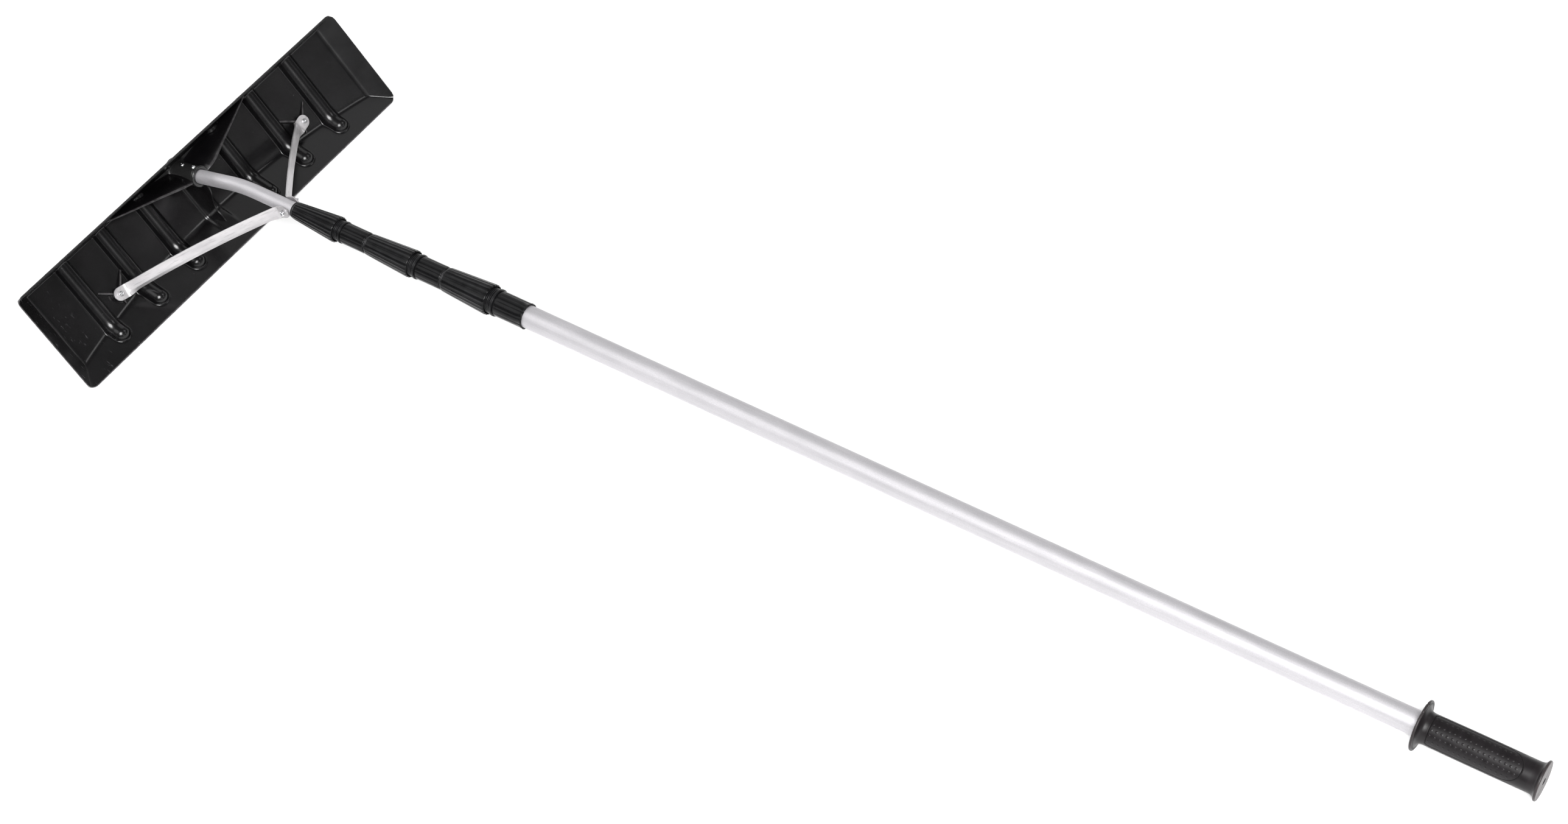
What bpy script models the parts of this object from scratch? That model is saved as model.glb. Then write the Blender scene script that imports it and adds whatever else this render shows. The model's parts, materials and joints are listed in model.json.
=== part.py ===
"""Telescoping snow rake for roofs.

A ribbed plastic blade sits on a bent head tube and two braces. The head tube and two more
tubes nest in a long outer tube, and three twist-lock clamps hold them. Units are metres and
+Z is up. The rake lies on a floor at z = 0, on the blade's scraping edge and the grip's
front flange. +X runs along the blade and +Y points from the grip towards the blade.

Three frames are used. The blade frame has X along the blade, Y up its working face and Z
out of that face, with its origin in the middle of the scraping edge. The pole frame has Z
along the pole towards the grip, Y up from the floor and X as the blade's. The world frame
is the one described above.
"""
import math

import bmesh
import bpy
import numpy as np
from mathutils import Matrix, Vector

# ---------------------------------------------------------------- driving dimensions
GAP = 0.0003  # clearance left between pieces that touch

BLADE_LENGTH = 0.635
BLADE_HEIGHT = 0.1505
BLADE_WALL = 0.003
CORNER_RADIUS = 0.011
PANEL_DEPTH_MID = 0.0382
PANEL_DEPTH_END = 0.0194
PANEL_HALF_LENGTH = 0.293
LIP_SLOPE = 0.722
TOP_RIM_WIDTH = 0.003
TOP_WALL_SLOPE = 4.2
RIB_PITCH = 0.0757
RIB_COUNT_EACH_SIDE = 3
RIB_RADIUS = 0.0125
RIB_END_HEIGHT = 0.026
CENTRE_RIB_RISE = 0.0015
CENTRE_RIB_HALF_WIDTH = 0.013

POLE_ROOT_HEIGHT = 0.133  # where the pole's axis crosses the rim plane
POLE_TILT = math.radians(38.95)  # between the pole and the blade's normal
SOCKET_TILT = math.radians(24.2)  # between the socket and the blade's normal
SOCKET_MOUTH_Y = 0.10625
SOCKET_RADIUS = 0.014
SOCKET_RIM_RADIUS = 0.0148
SOCKET_RIM_LENGTH = 0.003
SOCKET_BORE_DEPTH = 0.036
HEAD_BEND_RADIUS = 0.18
BEND_STEPS = 6

TUBE_RADII = (0.0095, 0.01125, 0.013, 0.0148)
TUBE_WALL = 0.0012
TUBE_TAILS = (1.840, 1.868, 1.896, 1.9115)  # where each tube ends, along the pole

NUT_FRONTS = (0.184, 0.3075, 0.4325)
NUT_LENGTH = 0.074
NUT_FRONT_RADII = (0.0114, 0.0142, 0.0161)
NUT_REAR_RADII = (0.0177, 0.0186, 0.0206)
NUT_FLUTE_DEPTH = 0.0006
NUT_CLEARANCE = 0.0004
BODY_REARS = (0.307, 0.432, 0.563)
BODY_START = 0.049  # clamp body's front face behind the nut's front face
THREAD_RADII = (0.0136, 0.0152, 0.0169)
FLANGE_RADII = (0.0150, 0.0168, 0.0183)
SLEEVE_RADII = (0.0145, 0.0159, 0.0172)
CONE_START = 0.014
COLLET_SLOT_ANGLE = math.radians(12)
BUSH_PLUG = 0.017
BUSH_COLLAR = 0.008

GRIP_START = 1.773
GRIP_END = 1.917
GRIP_FLANGE_RADIUS = 0.0302
GRIP_FLANGE_REAR = 1.7772
GRIP_BODY_RADIUS = 0.0186
GRIP_END_RADIUS = 0.0240
GRIP_END_WALL = 0.005
GRIP_EDGE = 0.0008
GRIP_SLOT = (0.009, 0.002)
GRIP_SLOT_DEPTH = 0.004

BRACE_BOSS = (0.1889, 0.062, -0.0246)  # centre of the boss's top face, blade frame
BOSS_RADIUS = 0.009
BOSS_BACK = -0.0344
BOSS_FIN_TIPS = ((-0.0293, 0.0244), (0.0217, 0.0193), (-0.002, -0.016))  # from its centre
FIN_WALL = 0.0022
BRACE_STATION = 0.1735  # where the through bolt crosses the head tube, along the pole
BRACE_WIDTH = 0.0184
BRACE_THICKNESS = 0.002
BRACE_FOLD_DISTANCE = 0.010  # from a bolt to the bend beside it
BRACE_FOLD = math.radians(35)
BRACE_CREASE = 0.0028
BRACE_STATIONS = (0.0, 0.02, 0.09, 0.3, 0.5, 0.7, 0.91, 0.98, 1.0)  # shares of its length
BRACE_END_ANGLES = (14, 38, 64, 90)  # round the end, in degrees from its tip
BRACE_BOW = 0.004
SCREW_RADIUS = 0.002
SCREW_HEAD_RADIUS = 0.0035
SCREW_HEAD_HEIGHT = 0.004
HEX_KEY_RADIUS = 0.0017
NUT_ACROSS_FLATS = 0.007
NUT_HEIGHT = 0.0032
SOCKET_SCREW_STATIONS = (-0.0074, -0.0292)  # along the socket from its mouth

ROUND_SEGMENTS = 24
FLUTED_SEGMENTS = 40
WELD_DISTANCE = 0.000005

# ---------------------------------------------------------------- derived directions
POLE_DIRECTION = Vector((0, -math.sin(POLE_TILT), math.cos(POLE_TILT)))
POLE_ROOT = Vector((0, POLE_ROOT_HEIGHT, 0))
SOCKET_DIRECTION = Vector((0, -math.sin(SOCKET_TILT), math.cos(SOCKET_TILT)))
SOCKET_UP = Vector((0, math.cos(SOCKET_TILT), math.sin(SOCKET_TILT)))
SOCKET_MOUTH = Vector((0, SOCKET_MOUTH_Y, 0))
SIDE_SLOPE = PANEL_DEPTH_END / (BLADE_LENGTH / 2 - PANEL_HALF_LENGTH)


# ---------------------------------------------------------------- scene and helpers
def clear_scene():
    for item in list(bpy.data.objects):
        bpy.data.objects.remove(item, do_unlink=True)


def make_material(name, colour, roughness, metallic):
    material = bpy.data.materials.new(name)
    material.use_nodes = True
    shader = material.node_tree.nodes["Principled BSDF"]
    shader.inputs["Base Color"].default_value = (*colour, 1.0)
    shader.inputs["Roughness"].default_value = roughness
    shader.inputs["Metallic"].default_value = metallic
    return material


def make_empty(name, parent=None, location=(0, 0, 0), tilt=0.0):
    empty = bpy.data.objects.new(name, None)
    bpy.context.collection.objects.link(empty)
    empty.parent = parent
    empty.location = location
    empty.rotation_euler = (tilt, 0, 0)
    return empty


def add_object(name, mesh, material=None, parent=None):
    obj = bpy.data.objects.new(name, mesh)
    bpy.context.collection.objects.link(obj)
    obj.parent = parent
    if material:
        mesh.materials.append(material)
    mesh.shade_smooth()
    mesh.set_sharp_from_angle(angle=math.radians(35))
    return obj


def mesh_from(name, points, faces):
    mesh = bpy.data.meshes.new(name)
    mesh.from_pydata([tuple(p) for p in points], [], faces)
    bm = bmesh.new()
    bm.from_mesh(mesh)
    bmesh.ops.recalc_face_normals(bm, faces=bm.faces)
    bm.to_mesh(mesh)
    bm.free()
    return mesh


def turned_mesh(name, profile, segments=ROUND_SEGMENTS, flute=0.0, arc=2 * math.pi):
    """Turn a profile of (radius, z) points about Z. A profile that starts and ends on the
    axis makes a solid, and any other one is closed into a ring. A point with a third value
    is fluted: every second one round the axis lies flute * value nearer to the axis."""
    on_axis = profile[0][0] == 0
    whole = arc > 2 * math.pi - 1e-6
    columns = segments if whole else segments + 1
    points = []
    rows = []
    for point in profile:
        radius, z = point[0], point[1]
        depth = flute * point[2] if len(point) > 2 else 0.0
        if radius == 0:
            rows.append([len(points)] * columns)
            points.append((0, 0, z))
            continue
        row = []
        for k in range(columns):
            angle = arc * k / segments
            r = radius - (depth if k % 2 else 0.0)
            row.append(len(points))
            points.append((r * math.cos(angle), r * math.sin(angle), z))
        rows.append(row)
    faces = []
    spans = len(rows) - 1 if on_axis else len(rows)
    for i in range(spans):
        lower, upper = rows[i], rows[(i + 1) % len(rows)]
        for k in range(segments):
            n = (k + 1) % columns
            corners = [lower[k], lower[n], upper[n], upper[k]]
            faces.append(list(dict.fromkeys(corners)))
    if not whole:
        faces.append([row[0] for row in rows])
        faces.append([row[-1] for row in rows][::-1])
    return mesh_from(name, points, faces)


def loft_mesh(name, sections):
    """Join closed sections of equal point counts, and cap the two ends."""
    count = len(sections[0])
    points = [p for section in sections for p in section]
    faces = [list(range(count)), [len(points) - 1 - k for k in range(count)]]
    for i in range(len(sections) - 1):
        for k in range(count):
            n = (k + 1) % count
            a = i * count
            b = a + count
            faces.append([a + k, a + n, b + n, b + k])
    return mesh_from(name, points, faces)


def axis_matrix(origin, direction):
    """A frame at origin whose Z runs along direction."""
    rotation = Vector(direction).to_track_quat("Z", "Y").to_matrix().to_4x4()
    return Matrix.Translation(origin) @ rotation


def cylinder_mesh(name, radius, start, end, origin, direction, segments=ROUND_SEGMENTS):
    mesh = turned_mesh(name, [(0, start), (radius, start), (radius, end), (0, end)], segments)
    mesh.transform(axis_matrix(origin, direction))
    return mesh


def weld(mesh):
    """Join the points that a Boolean leaves within a hair of each other."""
    bm = bmesh.new()
    bm.from_mesh(mesh)
    bmesh.ops.remove_doubles(bm, verts=bm.verts, dist=WELD_DISTANCE)
    bmesh.ops.dissolve_degenerate(bm, edges=bm.edges, dist=WELD_DISTANCE)
    bm.to_mesh(mesh)
    bm.free()


def combine(target, tool_mesh, operation):
    """Apply a Boolean of a tool mesh, given in the target's own frame."""
    tool = bpy.data.objects.new("tool", tool_mesh)
    bpy.context.collection.objects.link(tool)
    tool.display_type = "WIRE"
    tool.hide_render = True
    tool.matrix_world = target.matrix_world
    modifier = target.modifiers.new("Boolean", "BOOLEAN")
    modifier.operation = operation
    modifier.solver = "EXACT"
    modifier.object = tool
    bpy.context.view_layer.update()
    graph = bpy.context.evaluated_depsgraph_get()
    result = bpy.data.meshes.new_from_object(target.evaluated_get(graph))
    weld(result)
    target.modifiers.clear()
    target.data = result
    bpy.data.objects.remove(tool, do_unlink=True)


def finish_edges(obj):
    obj.data.shade_smooth()
    obj.data.set_sharp_from_angle(angle=math.radians(35))


# ---------------------------------------------------------------- blade
def panel_depth(u):
    """How far the panel lies behind the rim plane. It is curved along the blade."""
    fall = PANEL_DEPTH_MID - PANEL_DEPTH_END
    return PANEL_DEPTH_MID - fall * (u / PANEL_HALF_LENGTH) ** 2


def rib_height(u, v, centre, wall):
    """Top of a half-round rib that runs down the panel, bends and ends on the lip."""
    radius = RIB_RADIUS - wall
    depth = float(panel_depth(centre)) + wall * 0.5
    bend_v = float(panel_depth(centre)) / LIP_SLOPE
    across = radius ** 2 - (u - centre) ** 2
    reach = np.sqrt(np.maximum(across, 0))
    height = np.full(np.shape(u), -1.0)
    stretch = math.sqrt(1 + LIP_SLOPE ** 2)
    sine = LIP_SLOPE / stretch
    foot = v - reach * sine
    inside = across > 0
    on_panel = inside & (v >= bend_v)
    on_lip = inside & (foot >= RIB_END_HEIGHT) & (foot <= bend_v)
    height = np.where(on_panel, -depth + reach, height)
    height = np.where(on_lip, np.maximum(height, -LIP_SLOPE * v + reach * stretch), height)
    for ball_v, ball_w in ((RIB_END_HEIGHT, -LIP_SLOPE * RIB_END_HEIGHT), (bend_v, -depth)):
        ball = across - (v - ball_v) ** 2
        dome = ball_w + np.sqrt(np.maximum(ball, 0))
        height = np.where(ball > 0, np.maximum(height, dome), height)
    return height


def face_height(u, v, wall=0.0):
    """Height of the working face over the rim plane, or of the back when wall is given."""
    def offset(slope):
        return wall * math.sqrt(1 + slope ** 2)

    panel = panel_depth(u) + wall
    lip = LIP_SLOPE * v + offset(LIP_SLOPE)
    side = SIDE_SLOPE * (BLADE_LENGTH / 2 - np.abs(u)) + offset(SIDE_SLOPE)
    top = TOP_WALL_SLOPE * (BLADE_HEIGHT - TOP_RIM_WIDTH - v) + offset(TOP_WALL_SLOPE)
    depth = np.minimum(np.minimum(panel, np.maximum(top, wall)), np.minimum(lip, side))
    height = -depth
    for k in range(-RIB_COUNT_EACH_SIDE, RIB_COUNT_EACH_SIDE + 1):
        if k:
            height = np.maximum(height, rib_height(u, v, k * RIB_PITCH, wall))
    low_rib = (np.abs(u) < CENTRE_RIB_HALF_WIDTH) & (depth > PANEL_DEPTH_MID * 0.9)
    return np.where(low_rib, height + CENTRE_RIB_RISE, height)


def blade_columns():
    """Lines across the blade: close together on the ribs, wide apart between them."""
    half = BLADE_LENGTH / 2
    overhang = 0.006
    columns = {0.004, half + overhang, half, PANEL_HALF_LENGTH, (half + PANEL_HALF_LENGTH) / 2}
    columns |= {CENTRE_RIB_HALF_WIDTH, CENTRE_RIB_HALF_WIDTH + 0.0008, RIB_PITCH / 2}
    for k in range(1, RIB_COUNT_EACH_SIDE + 1):
        for angle in (-90, -72, -48, -24, 0, 24, 48, 72, 90):
            columns.add(k * RIB_PITCH + RIB_RADIUS * math.sin(math.radians(angle)))
        columns |= {k * RIB_PITCH - RIB_RADIUS - 0.001, k * RIB_PITCH + RIB_RADIUS + 0.001}
    columns |= {RIB_PITCH * 1.5, RIB_PITCH * 2.5, (RIB_PITCH * 3 + PANEL_HALF_LENGTH) / 2 + 0.006}
    return sorted(columns | {-c for c in columns})


def blade_rows(u):
    """Heights of the grid's rows on one column. They follow the bend and the top wall."""
    half = BLADE_LENGTH / 2
    side = max(SIDE_SLOPE * (half - abs(u)), 0.0012)
    depth = min(float(panel_depth(u)), side)
    bend = depth / LIP_SLOPE
    wall_top = BLADE_HEIGHT - TOP_RIM_WIDTH
    wall_foot = wall_top - depth / TOP_WALL_SLOPE
    last_rib = RIB_COUNT_EACH_SIDE * RIB_PITCH + RIB_RADIUS
    squeeze = min(1.0, depth / float(panel_depth(last_rib)))
    ends = [RIB_END_HEIGHT - RIB_RADIUS * math.sin(math.radians(a)) for a in (90, 62, 36, 12)]
    rows = [-0.006, 0.0, 0.007 * squeeze]
    rows += [squeeze * v for v in ends]
    rows += [squeeze * RIB_END_HEIGHT * 1.12]
    rows += [bend, bend + 0.1 * (wall_foot - bend), (bend + wall_foot) / 2, wall_foot]
    rows += [wall_top, BLADE_HEIGHT + 0.006]
    return rows


def rounded_outline(half_x, y_low, y_high, radius, steps=5):
    centres = ((half_x - radius, y_low + radius, -90), (half_x - radius, y_high - radius, 0),
               (radius - half_x, y_high - radius, 90), (radius - half_x, y_low + radius, 180))
    outline = []
    for cx, cy, start in centres:
        for k in range(steps + 1):
            angle = math.radians(start + 90 * k / steps)
            outline.append((cx + radius * math.cos(angle), cy + radius * math.sin(angle)))
    return outline


def prism_mesh(name, outline, low, high):
    return loft_mesh(name, [[(x, y, z) for x, y in outline] for z in (low, high)])


def blade_shell_mesh():
    columns = blade_columns()
    u = np.array([[c] * len(blade_rows(c)) for c in columns])
    v = np.array([blade_rows(c) for c in columns])
    front = face_height(u, v)
    back = face_height(u, v, BLADE_WALL)
    width, height = u.shape
    points = list(zip(u.ravel(), v.ravel(), front.ravel()))
    points += list(zip(u.ravel(), v.ravel(), back.ravel()))
    total = width * height
    faces = []
    for i in range(width - 1):
        for j in range(height - 1):
            a = i * height + j
            quad = [a, a + height, a + height + 1, a + 1]
            faces.append(quad)
            faces.append([total + k for k in reversed(quad)])
    border = [j for j in range(height)]
    border += [i * height + height - 1 for i in range(1, width)]
    border += [(width - 1) * height + j for j in range(height - 2, -1, -1)]
    border += [i * height for i in range(width - 2, 0, -1)]
    for a, b in zip(border, border[1:] + border[:1]):
        faces.append([a, b, total + b, total + a])
    return mesh_from("blade_shell", points, faces)


def socket_mesh():
    """Round socket whose foot lies inside the panel's wall and whose mouth is square."""
    foot_w = -PANEL_DEPTH_MID - BLADE_WALL * 0.5
    rings = ((None, SOCKET_RADIUS), (-SOCKET_RIM_LENGTH, SOCKET_RADIUS),
             (-SOCKET_RIM_LENGTH * 0.7, SOCKET_RIM_RADIUS), (0.0, SOCKET_RIM_RADIUS))
    sections = []
    for along, radius in rings:
        section = []
        for k in range(ROUND_SEGMENTS):
            angle = 2 * math.pi * k / ROUND_SEGMENTS
            side = Vector((radius * math.cos(angle), 0, 0))
            start = SOCKET_MOUTH + side + SOCKET_UP * (radius * math.sin(angle))
            step = along
            if step is None:
                step = (foot_w - start.z) / SOCKET_DIRECTION.z
            section.append(start + SOCKET_DIRECTION * step)
        sections.append(section)
    return loft_mesh("socket", sections)


def wing_mesh(side):
    """Web from the socket's side to the top wall. Each station is a root point on the
    panel and a point on the free edge, at one distance from the middle of the blade."""
    stations = ((0.0105, (0.1285, -0.0392), (0.1075, 0.0045)),
                (0.0310, (0.1320, -0.0390), (0.1104, 0.0045)),
                (0.0627, (0.1376, -0.0385), (0.1201, -0.0029)),
                (0.0840, (0.1408, -0.0378), (0.1262, -0.0077)),
                (0.1100, (0.1428, -0.0300), (0.1338, -0.0137)),
                (0.1400, (0.1450, -0.0222), (0.1424, -0.0200)))
    sections = []
    for u, root, edge in stations:
        run = Vector((edge[0] - root[0], edge[1] - root[1])).normalized()
        normal = Vector((-run.y, run.x)) * (BLADE_WALL * 0.4)
        corners = ((root, normal), (edge, normal), (edge, -normal), (root, -normal))
        sections.append([(side * u, p[0] + n.x, p[1] + n.y) for p, n in corners])
    return loft_mesh("wing", sections)


def gusset_mesh():
    """Thin fin under the socket, from its rim down to a point on the lip."""
    half = BLADE_WALL * 0.4
    outline = ((0.1010, -0.0392), (0.1010, -0.0100), (0.0925, -0.0015), (0.0814, -0.0045),
               (0.0723, -0.0124), (0.0640, -0.0190), (0.0560, -0.0236), (0.0467, -0.0222),
               (0.0332, -0.0240), (0.0360, -0.0270), (0.0520, -0.0385))
    return loft_mesh("gusset", [[(x, y, z) for y, z in outline] for x in (-half, half)])


def fin_mesh(side, tip):
    """Triangular fin between a brace boss and a tip given relative to the boss."""
    base = Vector((side * BRACE_BOSS[0], BRACE_BOSS[1], 0))
    run = Vector((side * tip[0], tip[1], 0))
    across = Vector((-run.y, run.x, 0)).normalized() * (FIN_WALL / 2)
    foot_u = BRACE_BOSS[0] + tip[0]
    foot = -float(panel_depth(foot_u)) - BLADE_WALL * 0.5
    root = -float(panel_depth(BRACE_BOSS[0])) - BLADE_WALL * 0.5
    crest = BRACE_BOSS[2] - 0.0008
    start = base + run * 0.12
    end = base + run
    sections = []
    for offset in (across, -across):
        a = start + offset
        b = end + offset
        sections.append([(a.x, a.y, root), (a.x, a.y, crest),
                         (b.x, b.y, foot + BLADE_WALL * 0.7), (b.x, b.y, foot)])
    return loft_mesh("fin", sections)


def blade(material, parent):
    obj = add_object("blade", blade_shell_mesh(), material, parent)
    bpy.context.view_layer.update()
    outline = rounded_outline(BLADE_LENGTH / 2, 0.0, BLADE_HEIGHT, CORNER_RADIUS)
    combine(obj, prism_mesh("trim", outline, -0.08, 0.04), "INTERSECT")
    combine(obj, socket_mesh(), "UNION")
    combine(obj, gusset_mesh(), "UNION")
    for side in (-1, 1):
        combine(obj, wing_mesh(side), "UNION")
        boss_origin = (side * BRACE_BOSS[0], BRACE_BOSS[1], 0)
        boss = cylinder_mesh("boss", BOSS_RADIUS, BOSS_BACK, BRACE_BOSS[2], boss_origin,
                             (0, 0, 1))
        combine(obj, boss, "UNION")
        for tip in BOSS_FIN_TIPS:
            combine(obj, fin_mesh(side, tip), "UNION")
        hole = cylinder_mesh("hole", SCREW_RADIUS + GAP, -0.05, 0, boss_origin, (0, 0, 1), 16)
        combine(obj, hole, "DIFFERENCE")
    bore_radius = TUBE_RADII[0] + GAP
    bore = cylinder_mesh("bore", bore_radius, -SOCKET_BORE_DEPTH, 0.02, SOCKET_MOUTH,
                         SOCKET_DIRECTION)
    combine(obj, bore, "DIFFERENCE")
    for along in SOCKET_SCREW_STATIONS:
        origin = SOCKET_MOUTH + SOCKET_DIRECTION * along
        hole = cylinder_mesh("hole", SCREW_RADIUS + GAP, 0.005, 0.03, origin, SOCKET_UP, 16)
        combine(obj, hole, "DIFFERENCE")
    finish_edges(obj)
    return obj


# ---------------------------------------------------------------- tubes
def head_tube_path():
    """Centreline in the blade frame: straight in the socket, a bend, then the pole."""
    bend = POLE_TILT - SOCKET_TILT
    offset = SOCKET_MOUTH - POLE_ROOT
    up = Vector((0, math.cos(POLE_TILT), math.sin(POLE_TILT)))
    drop = -offset.dot(up)
    corner = SOCKET_MOUTH + SOCKET_DIRECTION * (drop / math.sin(bend))
    tangent = HEAD_BEND_RADIUS * math.tan(bend / 2)
    path = [(SOCKET_MOUTH + SOCKET_DIRECTION * (-SOCKET_BORE_DEPTH + 0.0005),
             SOCKET_DIRECTION)]
    first = corner - SOCKET_DIRECTION * tangent
    centre = first - SOCKET_UP * HEAD_BEND_RADIUS
    for k in range(BEND_STEPS + 1):
        angle = SOCKET_TILT + bend * k / BEND_STEPS
        radial = Vector((0, math.cos(angle), math.sin(angle)))
        direction = Vector((0, -math.sin(angle), math.cos(angle)))
        path.append((centre + radial * HEAD_BEND_RADIUS, direction))
    path.append((POLE_ROOT + POLE_DIRECTION * TUBE_TAILS[0], POLE_DIRECTION))
    return path


def head_tube(material, parent):
    segments = ROUND_SEGMENTS
    points = []
    faces = []
    path = head_tube_path()
    radii = (TUBE_RADII[0], TUBE_RADII[0] - TUBE_WALL)
    for centre, direction in path:
        up = Vector((0, direction.z, -direction.y))
        for radius in radii:
            for k in range(segments):
                angle = 2 * math.pi * k / segments
                side = Vector((math.cos(angle), 0, 0)) + up * math.sin(angle)
                points.append(centre + side * radius)
    ring = 2 * segments
    last = (len(path) - 1) * ring
    for k in range(segments):
        n = (k + 1) % segments
        for i in range(len(path) - 1):
            a = i * ring
            faces.append([a + k, a + n, a + ring + n, a + ring + k])
            a += segments
            faces.append([a + k, a + ring + k, a + ring + n, a + n])
        faces.append([k, segments + k, segments + n, n])
        faces.append([last + k, last + n, last + segments + n, last + segments + k])
    obj = add_object("head_tube", mesh_from("head_tube", points, faces), material, parent)
    bpy.context.view_layer.update()
    bolt_origin = POLE_ROOT + POLE_DIRECTION * BRACE_STATION
    combine(obj, cylinder_mesh("hole", SCREW_RADIUS + GAP, -0.02, 0.02, bolt_origin,
                               (1, 0, 0), 16), "DIFFERENCE")
    for along in SOCKET_SCREW_STATIONS:
        origin = SOCKET_MOUTH + SOCKET_DIRECTION * along
        hole = cylinder_mesh("hole", SCREW_RADIUS + GAP, 0.0, 0.03, origin, SOCKET_UP, 16)
        combine(obj, hole, "DIFFERENCE")
    finish_edges(obj)
    return obj


def straight_tube(name, index, front, material, parent):
    outer = TUBE_RADII[index]
    inner = outer - TUBE_WALL
    tail = TUBE_TAILS[index]
    profile = [(outer, front), (outer, tail), (inner, tail), (inner, front)]
    return add_object(name, turned_mesh(name, profile), material, parent)


def guide_bush(name, index, material, parent):
    """Plug in a tube's tail with a collar that centres it in the next tube."""
    tail = TUBE_TAILS[index]
    plug = TUBE_RADII[index] - TUBE_WALL - GAP
    collar = TUBE_RADII[index + 1] - TUBE_WALL - GAP
    bore = plug - 0.0015
    profile = [(bore, tail - BUSH_PLUG), (plug, tail - BUSH_PLUG), (plug, tail + GAP),
               (collar, tail + GAP), (collar, tail + BUSH_COLLAR), (bore, tail + BUSH_COLLAR)]
    return add_object(name, turned_mesh(name, profile), material, parent)


# ---------------------------------------------------------------- twist-lock clamps
def cone_radius(index, along):
    """Inner radius of a nut at a distance behind its front face."""
    low = TUBE_RADII[index] + 0.0013
    high = THREAD_RADII[index] + GAP
    share = (along - CONE_START) / (BODY_START + 0.001 - CONE_START)
    return low + (high - low) * min(max(share, 0.0), 1.0)


def clamp_nut(index, material, parent):
    """Tapered, fluted nut. It turns on the clamp body's thread and squeezes the collet."""
    z = NUT_FRONTS[index]
    front = NUT_FRONT_RADII[index]
    rear = NUT_REAR_RADII[index]
    hole = TUBE_RADII[index] + NUT_CLEARANCE
    thread = THREAD_RADII[index] + GAP
    profile = [
        (front - 0.0008, z), (front, z + 0.0012, 1), (rear - 0.0006, z + 0.060, 1),
        (rear, z + 0.065, 1), (rear, z + 0.072, 1), (rear - 0.0008, z + NUT_LENGTH),
        (thread, z + NUT_LENGTH), (thread, z + BODY_START + 0.001),
        (cone_radius(index, CONE_START), z + CONE_START), (hole, z + CONE_START), (hole, z)]
    name = f"clamp_nut_{index + 1}"
    mesh = turned_mesh(name, profile, FLUTED_SEGMENTS, NUT_FLUTE_DEPTH)
    return add_object(name, mesh, material, parent)


def clamp_body(index, material, parent):
    """Sleeve fixed to the outer tube of the pair, with thread rings, flange and flutes."""
    start = NUT_FRONTS[index] + BODY_START
    nut_rear = NUT_FRONTS[index] + NUT_LENGTH
    rear = BODY_REARS[index]
    inner_tube = TUBE_RADII[index] + GAP
    outer_tube = TUBE_RADII[index + 1] + GAP
    thread = THREAD_RADII[index]
    flange = FLANGE_RADII[index]
    sleeve = SLEEVE_RADII[index]
    groove = thread - 0.0008
    shoulder = start + 0.004
    profile = [
        (thread, start), (thread, nut_rear + 0.001), (groove, nut_rear + 0.0018),
        (groove, nut_rear + 0.0030), (thread, nut_rear + 0.0038),
        (thread, nut_rear + 0.0052), (groove, nut_rear + 0.0060),
        (flange, nut_rear + 0.0075), (flange, nut_rear + 0.0120),
        (sleeve - 0.0008, nut_rear + 0.0135), (sleeve, nut_rear + 0.0150, 1),
        (sleeve, rear - 0.0015, 1), (sleeve - 0.0008, rear), (outer_tube, rear),
        (outer_tube, shoulder), (inner_tube, shoulder), (inner_tube, start)]
    name = f"clamp_body_{index + 1}"
    return add_object(name, turned_mesh(name, profile, ROUND_SEGMENTS, 0.0005), material, parent)


def collet(index, material, parent):
    """Split tapered ring between the nut's cone and the clamp body."""
    z = NUT_FRONTS[index]
    inner = TUBE_RADII[index] + GAP
    front = CONE_START + 0.002
    rear = BODY_START - 0.0012
    profile = [(inner, z + front), (cone_radius(index, front) - NUT_CLEARANCE, z + front),
               (cone_radius(index, rear) - NUT_CLEARANCE, z + rear), (inner, z + rear)]
    name = f"collet_{index + 1}"
    mesh = turned_mesh(name, profile, ROUND_SEGMENTS, 0.0, 2 * math.pi - COLLET_SLOT_ANGLE)
    return add_object(name, mesh, material, parent)


# ---------------------------------------------------------------- grip
def grip(material, parent):
    bore = TUBE_RADII[3] + GAP
    body = GRIP_BODY_RADIUS
    rear = GRIP_FLANGE_REAR
    end = GRIP_END
    inner_end = end - GRIP_END_WALL
    profile = [
        (0, inner_end), (bore, inner_end), (bore, GRIP_START),
        (GRIP_FLANGE_RADIUS - GRIP_EDGE, GRIP_START),
        (GRIP_FLANGE_RADIUS, GRIP_START + GRIP_EDGE), (GRIP_FLANGE_RADIUS, rear),
        (body * 1.371, rear + 0.0020), (body * 1.183, rear + 0.0046),
        (body * 1.054, rear + 0.0088), (body * 0.990, rear + 0.0128),
        (body * 1.022, rear + 0.0530), (body, end - 0.037), (body, end - 0.017),
        (body * 1.043, end - 0.0105), (body * 1.156, end - 0.005),
        (GRIP_END_RADIUS, end - 0.002), (GRIP_END_RADIUS, end - GRIP_EDGE),
        (GRIP_END_RADIUS - GRIP_EDGE, end), (0, end)]
    obj = add_object("grip", turned_mesh("grip", profile), material, parent)
    bpy.context.view_layer.update()
    half_x, half_y = GRIP_SLOT[0] / 2, GRIP_SLOT[1] / 2
    outline = ((-half_x, -half_y), (half_x, -half_y), (half_x, half_y), (-half_x, half_y))
    slot = prism_mesh("slot", outline, GRIP_END - GRIP_SLOT_DEPTH, GRIP_END + GRIP_SLOT_DEPTH)
    combine(obj, slot, "DIFFERENCE")
    finish_edges(obj)
    return obj


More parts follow.
